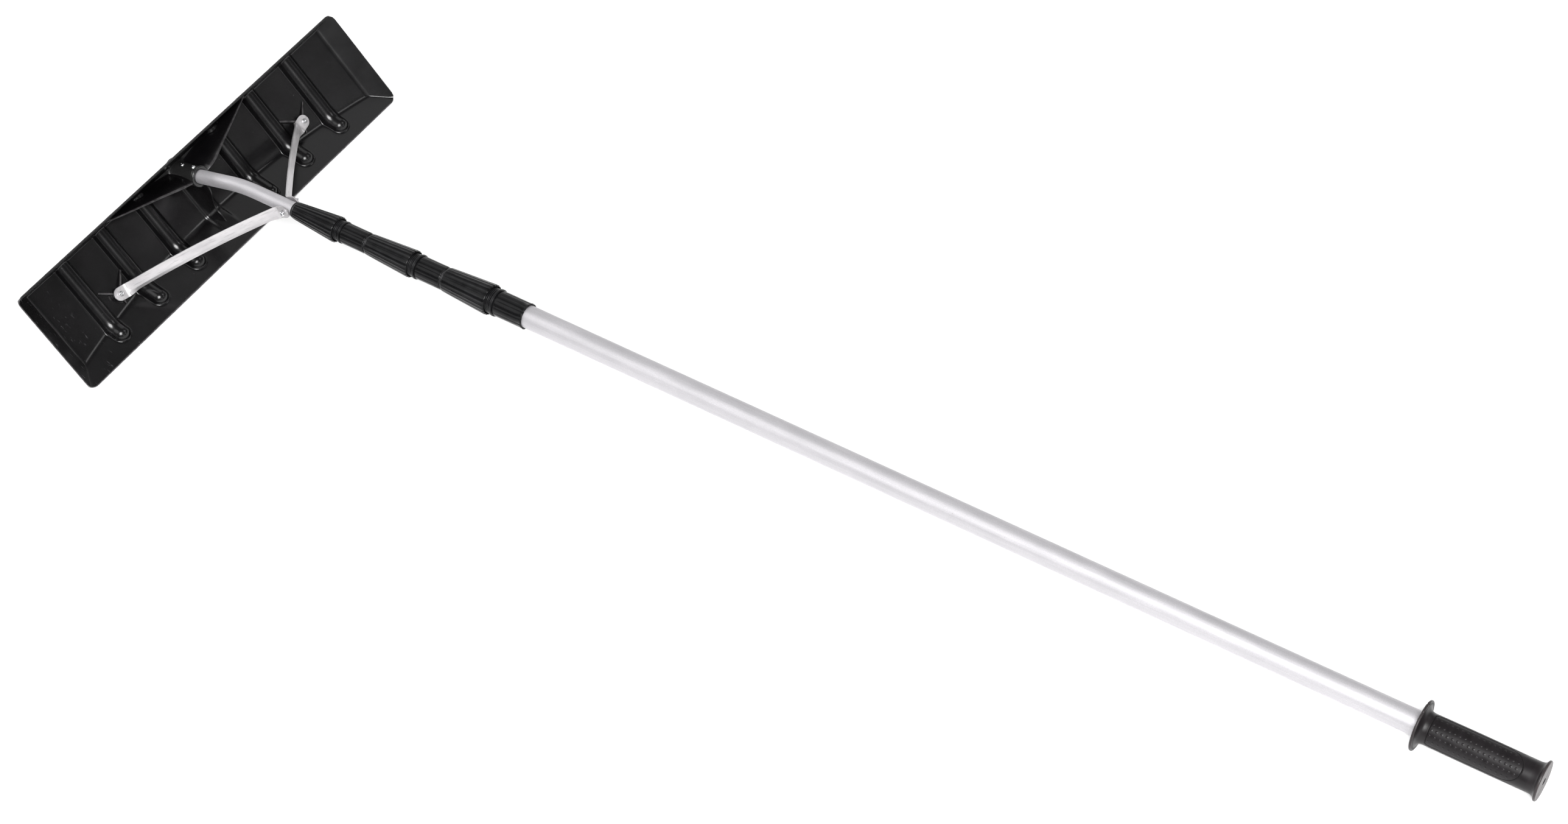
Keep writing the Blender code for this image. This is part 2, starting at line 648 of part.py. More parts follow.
# ---------------------------------------------------------------- braces and fasteners
def brace_sections(side):
    """Cross-sections of a brace, from its round end on the boss to the one on the tube."""
    half = BRACE_WIDTH / 2
    lift = GAP + BRACE_THICKNESS / 2
    boss_end = Vector((side * BRACE_BOSS[0], BRACE_BOSS[1], BRACE_BOSS[2] + lift))
    tube_end = POLE_ROOT + POLE_DIRECTION * BRACE_STATION
    tube_end = tube_end + Vector((side * (TUBE_RADII[0] + lift), 0, 0))
    span = tube_end - boss_end
    boss_run = Vector((span.x, span.y, 0)).normalized()
    tube_run = Vector((0, span.y, span.z)).normalized()
    boss_normal = Vector((0, 0, 1))
    tube_normal = Vector((side, 0, 0))
    boss_fold = boss_end + boss_run * BRACE_FOLD_DISTANCE
    tube_fold = tube_end - tube_run * BRACE_FOLD_DISTANCE
    middle_run = (tube_fold - boss_fold).normalized()

    def down(run, normal):
        across = run.cross(normal).normalized()
        return across if across.y < 0 else -across

    boss_across = down(boss_run, boss_normal)
    tube_across = down(tube_run, tube_normal)

    def section(centre, across, normal, half_width, fold):
        outer = centre - across * half_width
        crease_at = min(BRACE_CREASE, half_width * 0.5)
        crease = centre + across * crease_at
        width = half_width - crease_at
        flap = across * math.cos(fold) - normal * math.sin(fold)
        inner = crease + flap * width
        flap_normal = normal * math.cos(fold) + across * math.sin(fold)
        bisector = (normal + flap_normal).normalized()
        t = BRACE_THICKNESS / 2
        top = [outer + normal * t, crease + bisector * t, inner + flap_normal * t]
        bottom = [inner - flap_normal * t, crease - bisector * t, outer - normal * t]
        return top + bottom

    sections = []
    for angle in BRACE_END_ANGLES:
        c, s = math.cos(math.radians(angle)), math.sin(math.radians(angle))
        sections.append(section(boss_end - boss_run * (half * c), boss_across, boss_normal,
                                half * s, 0.0))
    length = (tube_fold - boss_fold).length
    for share in BRACE_STATIONS:
        across = boss_across.lerp(tube_across, share)
        across = (across - middle_run * across.dot(middle_run)).normalized()
        normal = across.cross(middle_run)
        if normal.z < 0:
            normal = -normal
        if share == 0.0:
            normal = (normal + boss_normal).normalized()
        if share == 1.0:
            normal = (normal + tube_normal).normalized()
        bow = -across * (4 * BRACE_BOW * share * (1 - share))
        fold = BRACE_FOLD if 0.05 < share < 0.95 else 0.0
        centre = boss_fold + middle_run * (length * share) + bow
        sections.append(section(centre, across, normal, half, fold))
    for angle in reversed(BRACE_END_ANGLES):
        c, s = math.cos(math.radians(angle)), math.sin(math.radians(angle))
        sections.append(section(tube_end + tube_run * (half * c), tube_across, tube_normal,
                                half * s, 0.0))
    return sections


def brace(name, side, material, parent):
    obj = add_object(name, loft_mesh(name, brace_sections(side)), material, parent)
    bpy.context.view_layer.update()
    boss = (side * BRACE_BOSS[0], BRACE_BOSS[1], 0)
    combine(obj, cylinder_mesh("hole", SCREW_RADIUS + GAP, -0.04, 0.0, boss, (0, 0, 1), 16),
            "DIFFERENCE")
    tube = POLE_ROOT + POLE_DIRECTION * BRACE_STATION
    combine(obj, cylinder_mesh("hole", SCREW_RADIUS + GAP, 0.0, 0.03, tube, (side, 0, 0), 16),
            "DIFFERENCE")
    finish_edges(obj)
    return obj


def socket_cap_screw_mesh(length):
    """Screw along Z: the head's seat is at z = 0, the shank runs down, the key hole up."""
    head = SCREW_HEAD_RADIUS
    top = SCREW_HEAD_HEIGHT
    profile = [(0, -length), (SCREW_RADIUS, -length), (SCREW_RADIUS, 0), (head, 0),
               (head, top - 0.0004), (head - 0.0004, top), (HEX_KEY_RADIUS, top),
               (HEX_KEY_RADIUS, top - 0.002), (0, top - 0.002)]
    return turned_mesh("screw", profile, 18)


def round_head_screw_mesh(length):
    profile = [(0, -length), (SCREW_RADIUS, -length), (SCREW_RADIUS, 0), (0.0033, 0),
               (0.0030, 0.0011), (0.0018, 0.0020), (0, 0.0023)]
    return turned_mesh("screw", profile, 16)


def hex_nut_mesh():
    """Nut along Z from 0 to its height, with a round hole."""
    corner = NUT_ACROSS_FLATS / 2 / math.cos(math.radians(30))
    count = 12
    points = []
    for z in (0, NUT_HEIGHT):
        for k in range(count):
            angle = 2 * math.pi * k / count
            outer = corner if k % 2 else NUT_ACROSS_FLATS / 2
            for radius in (outer, SCREW_RADIUS + GAP):
                points.append((radius * math.cos(angle), radius * math.sin(angle), z))
    faces = []
    for k in range(count):
        n = (k + 1) % count
        a, b = 2 * k, 2 * n
        c, d = a + 2 * count, b + 2 * count
        faces += [[a, b, d, c], [a + 1, c + 1, d + 1, b + 1], [a, a + 1, b + 1, b],
                  [c, d, d + 1, c + 1]]
    return mesh_from("hex_nut", points, faces)


def placed_object(name, mesh, matrix, material, parent):
    mesh.transform(matrix)
    return add_object(name, mesh, material, parent)


def fasteners(material, parent):
    seat = BRACE_BOSS[2] + 2 * GAP + BRACE_THICKNESS
    nut_seat = BOSS_BACK - GAP - NUT_HEIGHT
    for side, label in ((-1, "left"), (1, "right")):
        screw = socket_cap_screw_mesh(seat - nut_seat + 0.0012)
        place = Matrix.Translation((side * BRACE_BOSS[0], BRACE_BOSS[1], seat))
        placed_object(f"brace_screw_{label}", screw, place, material, parent)
        place = Matrix.Translation((side * BRACE_BOSS[0], BRACE_BOSS[1], nut_seat))
        placed_object(f"brace_nut_{label}", hex_nut_mesh(), place, material, parent)
    for number, along in enumerate(SOCKET_SCREW_STATIONS):
        origin = SOCKET_MOUTH + SOCKET_DIRECTION * along + SOCKET_UP * (SOCKET_RADIUS + GAP)
        placed_object(f"socket_screw_{number + 1}", round_head_screw_mesh(0.0075),
                      axis_matrix(origin, SOCKET_UP), material, parent)
    reach = TUBE_RADII[0] + 2 * GAP + BRACE_THICKNESS
    origin = POLE_ROOT + POLE_DIRECTION * BRACE_STATION
    bolt = socket_cap_screw_mesh(2 * reach + NUT_HEIGHT + 0.0030)
    placed_object("tube_bolt", bolt, axis_matrix(origin + Vector((-reach, 0, 0)), (-1, 0, 0)),
                  material, parent)
    placed_object("tube_nut", hex_nut_mesh(),
                  axis_matrix(origin + Vector((reach, 0, 0)), (1, 0, 0)), material, parent)


# ---------------------------------------------------------------- resting place
def resting_tilt():
    """Turn about X that lays the blade's edge and the grip's flange on one floor."""
    edge = Vector((0, 0, -BLADE_WALL * math.sqrt(1 + LIP_SLOPE ** 2)))
    up = Vector((0, math.cos(POLE_TILT), math.sin(POLE_TILT)))
    heel = POLE_ROOT + POLE_DIRECTION * GRIP_FLANGE_REAR - up * GRIP_FLANGE_RADIUS
    run = (heel - edge).normalized()
    return math.atan2(run.z, -run.y)


def settle(root):
    """Move the rake so that its box stands on z = 0 with its bottom centre at the origin."""
    bpy.context.view_layer.update()
    places = [obj.matrix_world @ vertex.co for obj in bpy.data.objects if obj.type == "MESH"
              for vertex in obj.data.vertices]
    y_values = [place.y for place in places]
    root.location.y -= (min(y_values) + max(y_values)) / 2
    root.location.z -= min(place.z for place in places)


def build():
    clear_scene()
    plastic = make_material("blade_plastic", (0.020, 0.020, 0.022), 0.42, 0.0)
    clamp_plastic = make_material("clamp_plastic", (0.018, 0.018, 0.019), 0.38, 0.0)
    collet_plastic = make_material("collet_plastic", (0.75, 0.75, 0.72), 0.5, 0.0)
    rubber = make_material("grip_rubber", (0.030, 0.030, 0.031), 0.65, 0.0)
    aluminium = make_material("tube_aluminium", (0.80, 0.79, 0.80), 0.35, 1.0)
    strap = make_material("brace_aluminium", (0.72, 0.72, 0.73), 0.30, 1.0)
    steel = make_material("screw_steel", (0.62, 0.62, 0.62), 0.25, 1.0)

    root = make_empty("rake", tilt=resting_tilt())
    pole = make_empty("pole_axis", root, POLE_ROOT, POLE_TILT)
    outer_section = make_empty("outer_section", pole)
    tube_3_section = make_empty("tube_3_section", pole)
    tube_2_section = make_empty("tube_2_section", pole)
    head_section = make_empty("head_section", pole)
    back = Matrix.Rotation(-POLE_TILT, 4, "X") @ Vector((0, -POLE_ROOT_HEIGHT, 0))
    blade_frame = make_empty("blade_frame", head_section, back, -POLE_TILT)

    blade(plastic, blade_frame)
    head_tube(aluminium, blade_frame)
    brace("brace_left", -1, strap, blade_frame)
    brace("brace_right", 1, strap, blade_frame)
    fasteners(steel, blade_frame)
    guide_bush("guide_bush_1", 0, collet_plastic, head_section)

    sections = (tube_2_section, tube_3_section, outer_section)
    tube_names = ("tube_2", "tube_3", "outer_tube")
    for index, section in enumerate(sections):
        front = NUT_FRONTS[index] + BODY_START + 0.004 + GAP
        straight_tube(tube_names[index], index + 1, front, aluminium, section)
        clamp_body(index, clamp_plastic, section)
        collet(index, collet_plastic, section)
        nut_axis = make_empty(f"nut_axis_{index + 1}", section)
        clamp_nut(index, clamp_plastic, nut_axis)
        if index < 2:
            guide_bush(f"guide_bush_{index + 2}", index + 1, collet_plastic, section)
    grip(rubber, outer_section)
    settle(root)


build()
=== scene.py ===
"""Looks of the telescoping snow rake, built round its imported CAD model.

Every piece is made in one of two local frames and then placed. The blade frame has X along
the blade, Y up its working face and Z out of that face, with its origin in the middle of
the scraping edge. The pole frame has Z along the pole towards the grip, Y up and X as the
blade's, with its origin where the pole's axis meets the plane of the blade's rim.
"""
import json
import math

import bmesh
import bpy
import numpy as np
from mathutils import Matrix, Vector


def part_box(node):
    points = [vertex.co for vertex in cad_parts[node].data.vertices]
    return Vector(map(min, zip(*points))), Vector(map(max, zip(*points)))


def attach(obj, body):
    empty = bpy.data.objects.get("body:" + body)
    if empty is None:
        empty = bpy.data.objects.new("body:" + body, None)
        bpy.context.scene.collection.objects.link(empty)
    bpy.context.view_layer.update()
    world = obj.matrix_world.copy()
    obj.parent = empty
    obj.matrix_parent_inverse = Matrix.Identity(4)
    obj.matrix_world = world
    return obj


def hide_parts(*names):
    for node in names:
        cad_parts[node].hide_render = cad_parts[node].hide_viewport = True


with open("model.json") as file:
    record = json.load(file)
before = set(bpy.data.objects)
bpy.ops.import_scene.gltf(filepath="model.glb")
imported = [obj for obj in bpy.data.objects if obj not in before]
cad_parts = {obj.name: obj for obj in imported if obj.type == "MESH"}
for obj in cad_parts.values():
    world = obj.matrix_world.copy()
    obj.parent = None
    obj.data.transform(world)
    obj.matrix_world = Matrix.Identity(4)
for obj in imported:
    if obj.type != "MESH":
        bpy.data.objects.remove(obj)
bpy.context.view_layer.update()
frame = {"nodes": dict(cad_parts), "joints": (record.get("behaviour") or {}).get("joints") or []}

# ---- driving dimensions
BLADE_HEIGHT = 0.1505
BLADE_WALL = 0.003
BLADE_WALL_LEAST = 0.0016
CORNER_RADIUS = 0.011
EDGE_ROUND = 0.0012
PANEL_DEPTH_MID = 0.0382
PANEL_DEPTH_END = 0.0194
PANEL_HALF_LENGTH = 0.293
LIP_SLOPE = 0.722
TOP_RIM_WIDTH = 0.003
TOP_WALL_SLOPE = 4.2
RIB_PITCH = 0.0757
RIB_COUNT_EACH_SIDE = 3
RIB_RADIUS = 0.0120
RIB_FILLET = 0.0026
RIB_END_HEIGHT = 0.0245
RIB_ELBOW_BLEND = 0.004
RIB_REACH = 0.018  # of the crowded grid beside a rib
RIM_BLEND = 0.0012
TOP_BEND_BLEND = 0.007
PANEL_BEND_BLEND = 0.0028
CENTRE_RIB_RISE = 0.0028
CENTRE_RIB_FLANK = 0.0050
CENTRE_RIB_HALF_WIDTH = 0.013
FACE_STEPS = 90  # that settle the working face onto the tray and its ribs

POLE_ROOT_HEIGHT = 0.133
POLE_TILT = math.radians(38.95)  # between the pole and the blade's normal
SOCKET_TILT = math.radians(24.2)  # between the socket and the blade's normal
SOCKET_MOUTH_Y = 0.10625
SOCKET_RADIUS = 0.0140
SOCKET_RIM_RADIUS = 0.0148
SOCKET_RIM_ROUND = 0.0017
SOCKET_BORE_DEPTH = 0.036
HEAD_BEND_RADIUS = 0.18

BOSS = (0.1889, 0.062, -0.0246)  # top of a brace boss in the blade frame
BOSS_RADIUS = 0.0088
BOSS_BACK = -0.0344
BRACE_STATION = 0.1735
BRACE_WIDTH = 0.0182
BRACE_THICKNESS = 0.002
BRACE_FOLD_DISTANCE = 0.010
BRACE_FOLD = math.radians(35)
BRACE_CREASE = 0.0028
CREASE_ROUND = 0.0012
CREASE_FROM = 0.008  # share of the brace's length where the crease begins
CREASE_RUN = 0.055  # share over which it reaches its full angle
BRACE_ROLL = 0.0028
BRACE_TWIST_SHARE = 0.10
BRACE_BOW = 0.004
BRACE_STATIONS = (0.014, 0.027, 0.045, 0.065, 0.085, 0.11, 0.16, 0.24, 0.32, 0.4, 0.5, 0.6,
                  0.68, 0.76, 0.84, 0.9, 0.93, 0.955, 0.972, 0.986)
GAP = 0.0003
BOSS_FIN_TIPS = ((-0.0293, 0.0244), (0.0217, 0.0193), (-0.002, -0.016))  # from its centre
FIN_HALF_WALL = 0.0014
GUSSET_HALF_WALL = 0.0012
GUSSET_OUTLINE = (  # Y and Z in millimetres
    (101.0, -39.2), (101.0, -10.0), (92.5, -1.5), (86.8, -2.2),
    (81.4, -4.5), (76.8, -8.3), (72.3, -12.4), (68.0, -16.0),
    (64.0, -19.0), (60.0, -21.7), (56.0, -23.6), (51.4, -23.6),
    (46.7, -22.2), (33.2, -24.0), (36.0, -27.0), (52.0, -39.5))
WING_HALF_WALL = 0.0012
WING_CURL = 0.007
WING_STATIONS = (  # millimetres: X, root Y and Z, edge Y and Z, radius of the bead
    (10.0, 128.5, -39.2, 106.2, -1.6, 1.2),
    (15.0, 129.4, -39.1, 106.4, -0.2, 1.2),
    (19.0, 130.1, -39.1, 107.4, 2.2, 1.3),
    (29.0, 131.7, -39.0, 110.0, 4.2, 1.5),
    (35.0, 132.8, -39.0, 111.6, 3.6, 1.5),
    (62.7, 137.6, -38.5, 120.1, -2.9, 1.4),
    (84.0, 140.8, -37.8, 126.2, -7.7, 1.3),
    (110.0, 142.8, -30.0, 133.8, -13.7, 1.2),
    (142.0, 145.2, -21.2, 143.4, -20.2, 1.0))

HEAD_TUBE_RADIUS = 0.0095
TUBE_WALL = 0.0012
TUBE_EDGE = 0.0003
NUT_FLUTES = 24
NUT_FLUTE_DEPTH = 0.00045
NUT_FRONT_RADII = (0.0114, 0.0142, 0.0161)
NUT_THREAD_RADII = (0.0136, 0.0152, 0.0169)
SLEEVE_RADII = (0.0145, 0.0159, 0.0172)
SLEEVE_FLATS = 12
THREAD_RING_PITCH = 0.0026
TUBE_OF_CLAMP = ("tube_2", "tube_3", "outer_tube")

GRIP_RADIUS = 0.0186
GRIP_END_RADIUS = 0.0240
INLAY_ANGLE = math.radians(125)
INLAY_HALF_WIDTH = 0.0208
DOT_PITCH = 0.00613
DOT_ROW_PITCH = 0.0069
DOT_RADIUS = 0.0013
DOT_HEIGHT = 0.00032
FLANGE_NICKS = ((math.radians(68), 0.0018), (math.radians(100), 0.0007))  # angle, depth
NICK_HALF_WIDTH = 0.0018
GRIP_ROW_STEP = 0.00045
END_SEAM_ANGLE = math.radians(35)
END_HOLE_RADIUS = 0.0039

SCREW_RADIUS = 0.002
SCREW_HEAD_RADIUS = 0.0035
SCREW_HEAD_HEIGHT = 0.004
THREAD_PITCH = 0.0007
KEY_ACROSS_FLATS = 0.0033
DOME_RADIUS = 0.0033
NUT_ACROSS_FLATS = 0.007

CAMERA_PLACE = Vector((-1.8567, -1.5093, 2.6664))
CAMERA_TARGET = Vector((0.0783, 0.0544, 0.0))
CAMERA_ROLL = math.radians(-7.79)
CAMERA_LENS_MM = 67.57
SENSOR_WIDTH_MM = 36.0
LIGHT_TARGET = Vector((0, 0.1, 0.05))
LIGHTS = (  # name, direction from the target, distance, size and radiance
    ("key_front", (-0.53, -0.43, 0.73), 6.0, (2.8, 2.8), 28.0),
    ("back_left", (-0.45, 0.48, 0.75), 5.0, (3.6, 2.8), 2.2),
    ("fill_right", (0.58, 0.43, 0.69), 5.0, (3.5, 3.0), 1.0),
    ("panel_light", (0.38, -0.86, 0.34), 4.0, (1.3, 0.8), 2.5),
    ("bend_light", (0.53, -0.50, 0.69), 4.0, (0.8, 1.4), 5.0),
    ("rib_light", (-0.30, -0.92, 0.25), 4.0, (0.9, 0.8), 4.0),
    ("backdrop_right", (0.93, 0.30, 0.20), 9.0, (10.0, 4.4), 1.0),
    ("backdrop_back", (0.15, 0.96, 0.22), 9.0, (14.0, 5.2), 1.3),
    ("rim_light", (-0.15, 0.96, 0.25), 8.0, (2.8, 1.2), 14.0))
WORLD_STRENGTH = 0.14

# ---- frames
X_AXIS = Vector((1, 0, 0))
HEAD_SLIDE = next(joint for joint in frame["joints"] if joint["name"] == "head_slide")
GRIPWARD = -Vector(HEAD_SLIDE["axis"]).normalized()
POLE_UP = GRIPWARD.cross(X_AXIS)
FACE_UP = POLE_UP * math.cos(POLE_TILT) - GRIPWARD * math.sin(POLE_TILT)
FACE_OUT = POLE_UP * math.sin(POLE_TILT) + GRIPWARD * math.cos(POLE_TILT)


def placed_frame(x, y, z, origin):
    """Frame with the given axes and origin."""
    matrix = Matrix((x, y, z)).transposed().to_4x4()
    matrix.translation = origin
    return matrix


BLADE_LOW, BLADE_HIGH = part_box("blade")
BLADE_HALF = (BLADE_HIGH.x - BLADE_LOW.x) / 2
EDGE_DEPTH = BLADE_WALL * math.sqrt(1 + LIP_SLOPE ** 2)
BLADE_ORIGIN = Vector((0, BLADE_LOW.y, BLADE_LOW.z + EDGE_DEPTH * FACE_OUT.z))
BLADE = placed_frame(X_AXIS, FACE_UP, FACE_OUT, BLADE_ORIGIN)
POLE = placed_frame(X_AXIS, POLE_UP, GRIPWARD, BLADE_ORIGIN + FACE_UP * POLE_ROOT_HEIGHT)
SIDE_SLOPE = PANEL_DEPTH_END / (BLADE_HALF - PANEL_HALF_LENGTH)

# directions and points in the blade frame
POLE_ROOT = Vector((0, POLE_ROOT_HEIGHT, 0))
POLE_DIRECTION = Vector((0, -math.sin(POLE_TILT), math.cos(POLE_TILT)))
SOCKET_DIRECTION = Vector((0, -math.sin(SOCKET_TILT), math.cos(SOCKET_TILT)))
SOCKET_UP = Vector((0, math.cos(SOCKET_TILT), math.sin(SOCKET_TILT)))
SOCKET_MOUTH = Vector((0, SOCKET_MOUTH_Y, 0))


def local_points(node, place):
    """A CAD node's points in a local frame, as an array."""
    inverse = np.array(place.inverted())
    points = np.array([v.co for v in frame["nodes"][node].data.vertices])
    return points @ inverse[:3, :3].T + inverse[:3, 3]


def along_pole(node):
    """A CAD node's first and last station on the pole, and its inner and outer radius."""
    points = local_points(node, POLE)
    radius = np.hypot(points[:, 0], points[:, 1])
    return points[:, 2].min(), points[:, 2].max(), radius.min(), radius.max()


def turned_place(node, axis):
    """Frame of a turned CAD node whose Z is its axis and starts at its low end; length."""
    rotation = axis.to_track_quat("Z", "Y").to_matrix().to_4x4()
    points = local_points(node, rotation)
    low, high = points.min(0), points.max(0)
    middle = Vector(((low[0] + high[0]) / 2, (low[1] + high[1]) / 2, low[2]))
    rotation.translation = rotation @ middle
    return rotation, high[2] - low[2]


# ---- shader helpers
class Recipe:
    """A procedural material in the making, with a short call for each kind of node."""

    def __init__(self, name, roughness, metallic=0.0, specular=0.5):
        self.material = bpy.data.materials.new(name)
        self.material.use_nodes = True
        self.tree = self.material.node_tree
        self.shader = self.tree.nodes["Principled BSDF"]
        self.shader.inputs["Roughness"].default_value = roughness
        self.shader.inputs["Metallic"].default_value = metallic
        self.shader.inputs["Specular IOR Level"].default_value = specular

    def add(self, kind, inputs, output, **settings):
        """A node's output. An input is a constant or the output of another node."""
        node = self.tree.nodes.new("ShaderNode" + kind)
        for key, value in settings.items():
            setattr(node, key, value)
        for key, value in inputs.items():
            if isinstance(value, bpy.types.NodeSocket):
                self.tree.links.new(value, node.inputs[key])
            else:
                node.inputs[key].default_value = value
        return node.outputs[output]

    def place(self, stretch=(1, 1, 1)):
        """Object coordinates, each multiplied by a factor."""
        coordinates = self.add("TexCoord", {}, "Object")
        return self.add("Mapping", {"Vector": coordinates, "Scale": stretch}, 0)

    def wear_and_painted_light(self):
        """The mesh's own attribute: 1 on edges paled by rubbing and on edges with a painted
        highlight, and below 0 where shade is painted into grooves and hollows.
        """
        return self.add("Attribute", {}, "Fac", attribute_name="wear_and_painted_light")

    def noise(self, vector, scale, detail=3.0, roughness=0.55):
        inputs = {"Vector": vector, "Scale": scale, "Detail": detail, "Roughness": roughness}
        return self.add("TexNoise", inputs, "Fac")

    def fit(self, value, low, high, to_low=0.0, to_high=1.0):
        inputs = {"Value": value, "From Min": low, "From Max": high, "To Min": to_low,
                  "To Max": to_high}
        return self.add("MapRange", inputs, "Result")

    def times(self, a, b):
        return self.add("Math", {0: a, 1: b}, 0, operation="MULTIPLY")

    def plus(self, a, b):
        return self.add("Math", {0: a, 1: b}, 0, operation="ADD")

    def ramp(self, factor, *stops):
        """Colour between two stops of (position, colour or grey)."""
        output = self.add("ValToRGB", {"Fac": factor}, "Color")
        for element, (position, colour) in zip(output.node.color_ramp.elements, stops):
            element.position = position
            element.color = (*np.broadcast_to(colour, 3), 1.0)
        return output

    def mixed(self, factor, base, colour):
        inputs = {"Fac": factor, "Color1": base, "Color2": (*colour, 1.0)}
        return self.add("MixRGB", inputs, 0)

    def bump(self, height, distance, strength, under=None):
        inputs = {"Height": height, "Distance": distance, "Strength": strength}
        if under is not None:
            inputs["Normal"] = under
        return self.add("Bump", inputs, "Normal")

    def finish(self, base, rough=None, normal=None):
        """Link the outputs to the shader's sockets and hand the material over."""
        for output, socket in ((base, "Base Color"), (rough, "Roughness"), (normal, "Normal")):
            if output is not None:
                self.tree.links.new(output, self.shader.inputs[socket])
        return self.material


# ---- materials
def cloudy(name, roughness, metallic, scale, dark, light, rough, grain):
    """A plain material: a faint cloud in its colour and its gloss, over a fine grain."""
    m = Recipe(name, roughness, metallic)
    place = m.place()
    cloud = m.noise(place, scale, 4)
    grain_scale, detail, depth, strength = grain
    return m.finish(m.ramp(cloud, (0.3, dark), (0.7, light)), m.fit(cloud, 0.3, 0.7, *rough),
                    m.bump(m.noise(place, grain_scale, detail), depth, strength))


def socket_plastic():
    """The blade's plastic where the mould is polished."""
    return cloudy("socket_plastic", 0.2, 0.0, 40, 0.008, 0.012, (0.17, 0.25),
                  (120, 3, 0.0002, 0.15))


def screw_steel():
    """Bright zinc-plated steel."""
    return cloudy("screw_steel", 0.22, 1.0, 500, (0.56, 0.565, 0.58), (0.74, 0.74, 0.75),
                  (0.16, 0.30), (2500, 2, 0.00003, 0.3))


def collet_plastic():
    """Natural white nylon, slightly yellowed and waxy."""
    return cloudy("collet_plastic", 0.42, 0.0, 90, (0.66, 0.65, 0.60), (0.76, 0.75, 0.71),
                  (0.36, 0.5), (1200, 2, 0.00005, 0.4))


def blade_plastic():
    """Black moulded plastic: faint flow marks, fine grain, scuffs on one end, and paler edges
    that are partly rubbing and partly a painted highlight along the scraping edge.
    """
    m = Recipe("blade_plastic", 0.26, specular=0.36)
    place = m.place()
    flow = m.noise(place, 14, 5, 0.6)
    at_end = m.fit(m.add("SeparateXYZ", {"Vector": place}, "X"), -0.22, -BLADE_HALF)
    streaks = m.noise(m.place((90, 12, 30)), 3.0, 6, 0.7)
    scuffs = m.times(m.fit(streaks, 0.62, 0.70), at_end)
    specks = m.fit(m.noise(place, 420, 1), 0.80, 0.84, 0.0, 0.6)
    ragged = m.fit(m.noise(place, 160, 4), 0.35, 0.65, 0.35, 1.0)
    pale_mask = m.times(m.wear_and_painted_light(), ragged)
    base = m.ramp(flow, (0.3, (0.0016, 0.0015, 0.0017)), (0.7, (0.0034, 0.0032, 0.0036)))
    base = m.mixed(m.times(scuffs, 0.55), base, (0.10, 0.10, 0.105))
    base = m.mixed(specks, base, (0.09, 0.09, 0.095))
    # paler edges: rubbing along the rim, and a painted highlight along the scraping edge
    base = m.mixed(m.times(pale_mask, 0.75), base, (0.19, 0.18, 0.187))
    rough = m.plus(m.fit(flow, 0.3, 0.7, 0.20, 0.26), m.times(scuffs, 0.2))
    waves = m.bump(m.noise(place, 30, 2), 0.0004, 0.2)
    grain = m.bump(m.noise(place, 900, 2), 0.00003, 0.4, waves)
    return m.finish(base, rough, grain)


def clamp_plastic():
    """Black satin plastic with fine drawn lines along the pole, and paler edges: rubbing, and a
    painted highlight on each nut's nose chamfer.
    """
    m = Recipe("clamp_plastic", 0.28, specular=0.12)
    place = m.place()
    lines = m.noise(m.place((1, 1, 0.02)), 900, 3, 0.6)
    cloud = m.noise(place, 60, 4)
    dust = m.fit(m.noise(place, 700, 2), 0.70, 0.80, 0.0, 0.25)
    pale_mask = m.times(m.wear_and_painted_light(), m.fit(cloud, 0.35, 0.6, 0.3, 1.0))
    base = m.ramp(cloud, (0.3, (0.0026, 0.0026, 0.0028)), (0.7, (0.0046, 0.0046, 0.0050)))
    # paler edges, partly rubbing and partly a painted highlight on the nuts' nose chamfers
    base = m.mixed(m.times(pale_mask, 0.5), base, (0.075, 0.075, 0.078))
    base = m.mixed(dust, base, (0.05, 0.05, 0.052))
    return m.finish(base, m.fit(lines, 0.3, 0.7, 0.19, 0.30), m.bump(lines, 0.00003, 0.4))


def tube_aluminium():
    """Satin anodised tube: fine grain, faint drawn streaks and a few small marks."""
    m = Recipe("tube_aluminium", 0.6, metallic=0.8)
    place = m.place()
    streaks = m.noise(m.place((1, 1, 0.012)), 700, 4, 0.6)
    cloud = m.noise(m.place((1, 1, 0.25)), 60, 4, 0.6)
    grain = m.noise(place, 2600, 2)
    marks = m.fit(m.noise(place, 230, 1), 0.80, 0.83, 0.0, 0.5)
    speckle = m.fit(m.noise(place, 900, 2, 0.6), 0.35, 0.65, 0.0, 0.35)
    base = m.ramp(cloud, (0.25, (0.450, 0.441, 0.457)), (0.75, (0.550, 0.537, 0.556)))
    base = m.mixed(m.fit(streaks, 0.3, 0.7, 0.0, 0.3), base, (0.34, 0.336, 0.35))
    base = m.mixed(speckle, base, (0.34, 0.33, 0.345))
    base = m.mixed(marks, base, (0.27, 0.25, 0.25))
    rough = m.plus(m.fit(grain, 0.3, 0.7, 0.56, 0.66), m.fit(cloud, 0.3, 0.7, -0.02, 0.04))
    drawn = m.bump(streaks, 0.00003, 0.35)
    return m.finish(base, rough, m.bump(grain, 0.00003, 0.5, drawn))


def brace_aluminium():
    """Mill-finish strip: brushed along its length, with scratches and dull smears."""
    m = Recipe("brace_aluminium", 0.5, metallic=0.88)
    brushed = m.noise(m.place((0.02, 1, 1)), 1800, 4, 0.65)
    smears = m.noise(m.place((0.4, 1, 1)), 45, 5, 0.6)
    scratches = m.noise(m.place((0.10, 1, 1)), 520, 2, 0.6)
    scratched = m.fit(scratches, 0.57, 0.66)
    base = m.ramp(smears, (0.3, (0.37, 0.36, 0.37)), (0.7, (0.57, 0.555, 0.563)))
    base = m.mixed(m.times(scratched, 0.32), base, (0.20, 0.19, 0.20))
    rough = m.plus(m.fit(smears, 0.3, 0.7, 0.44, 0.58), m.times(scratched, 0.08))
    lines = m.bump(brushed, 0.00003, 0.4)
    fine = m.bump(m.noise(m.place(), 2400, 2), 0.00002, 0.3, lines)
    return m.finish(base, rough, fine)


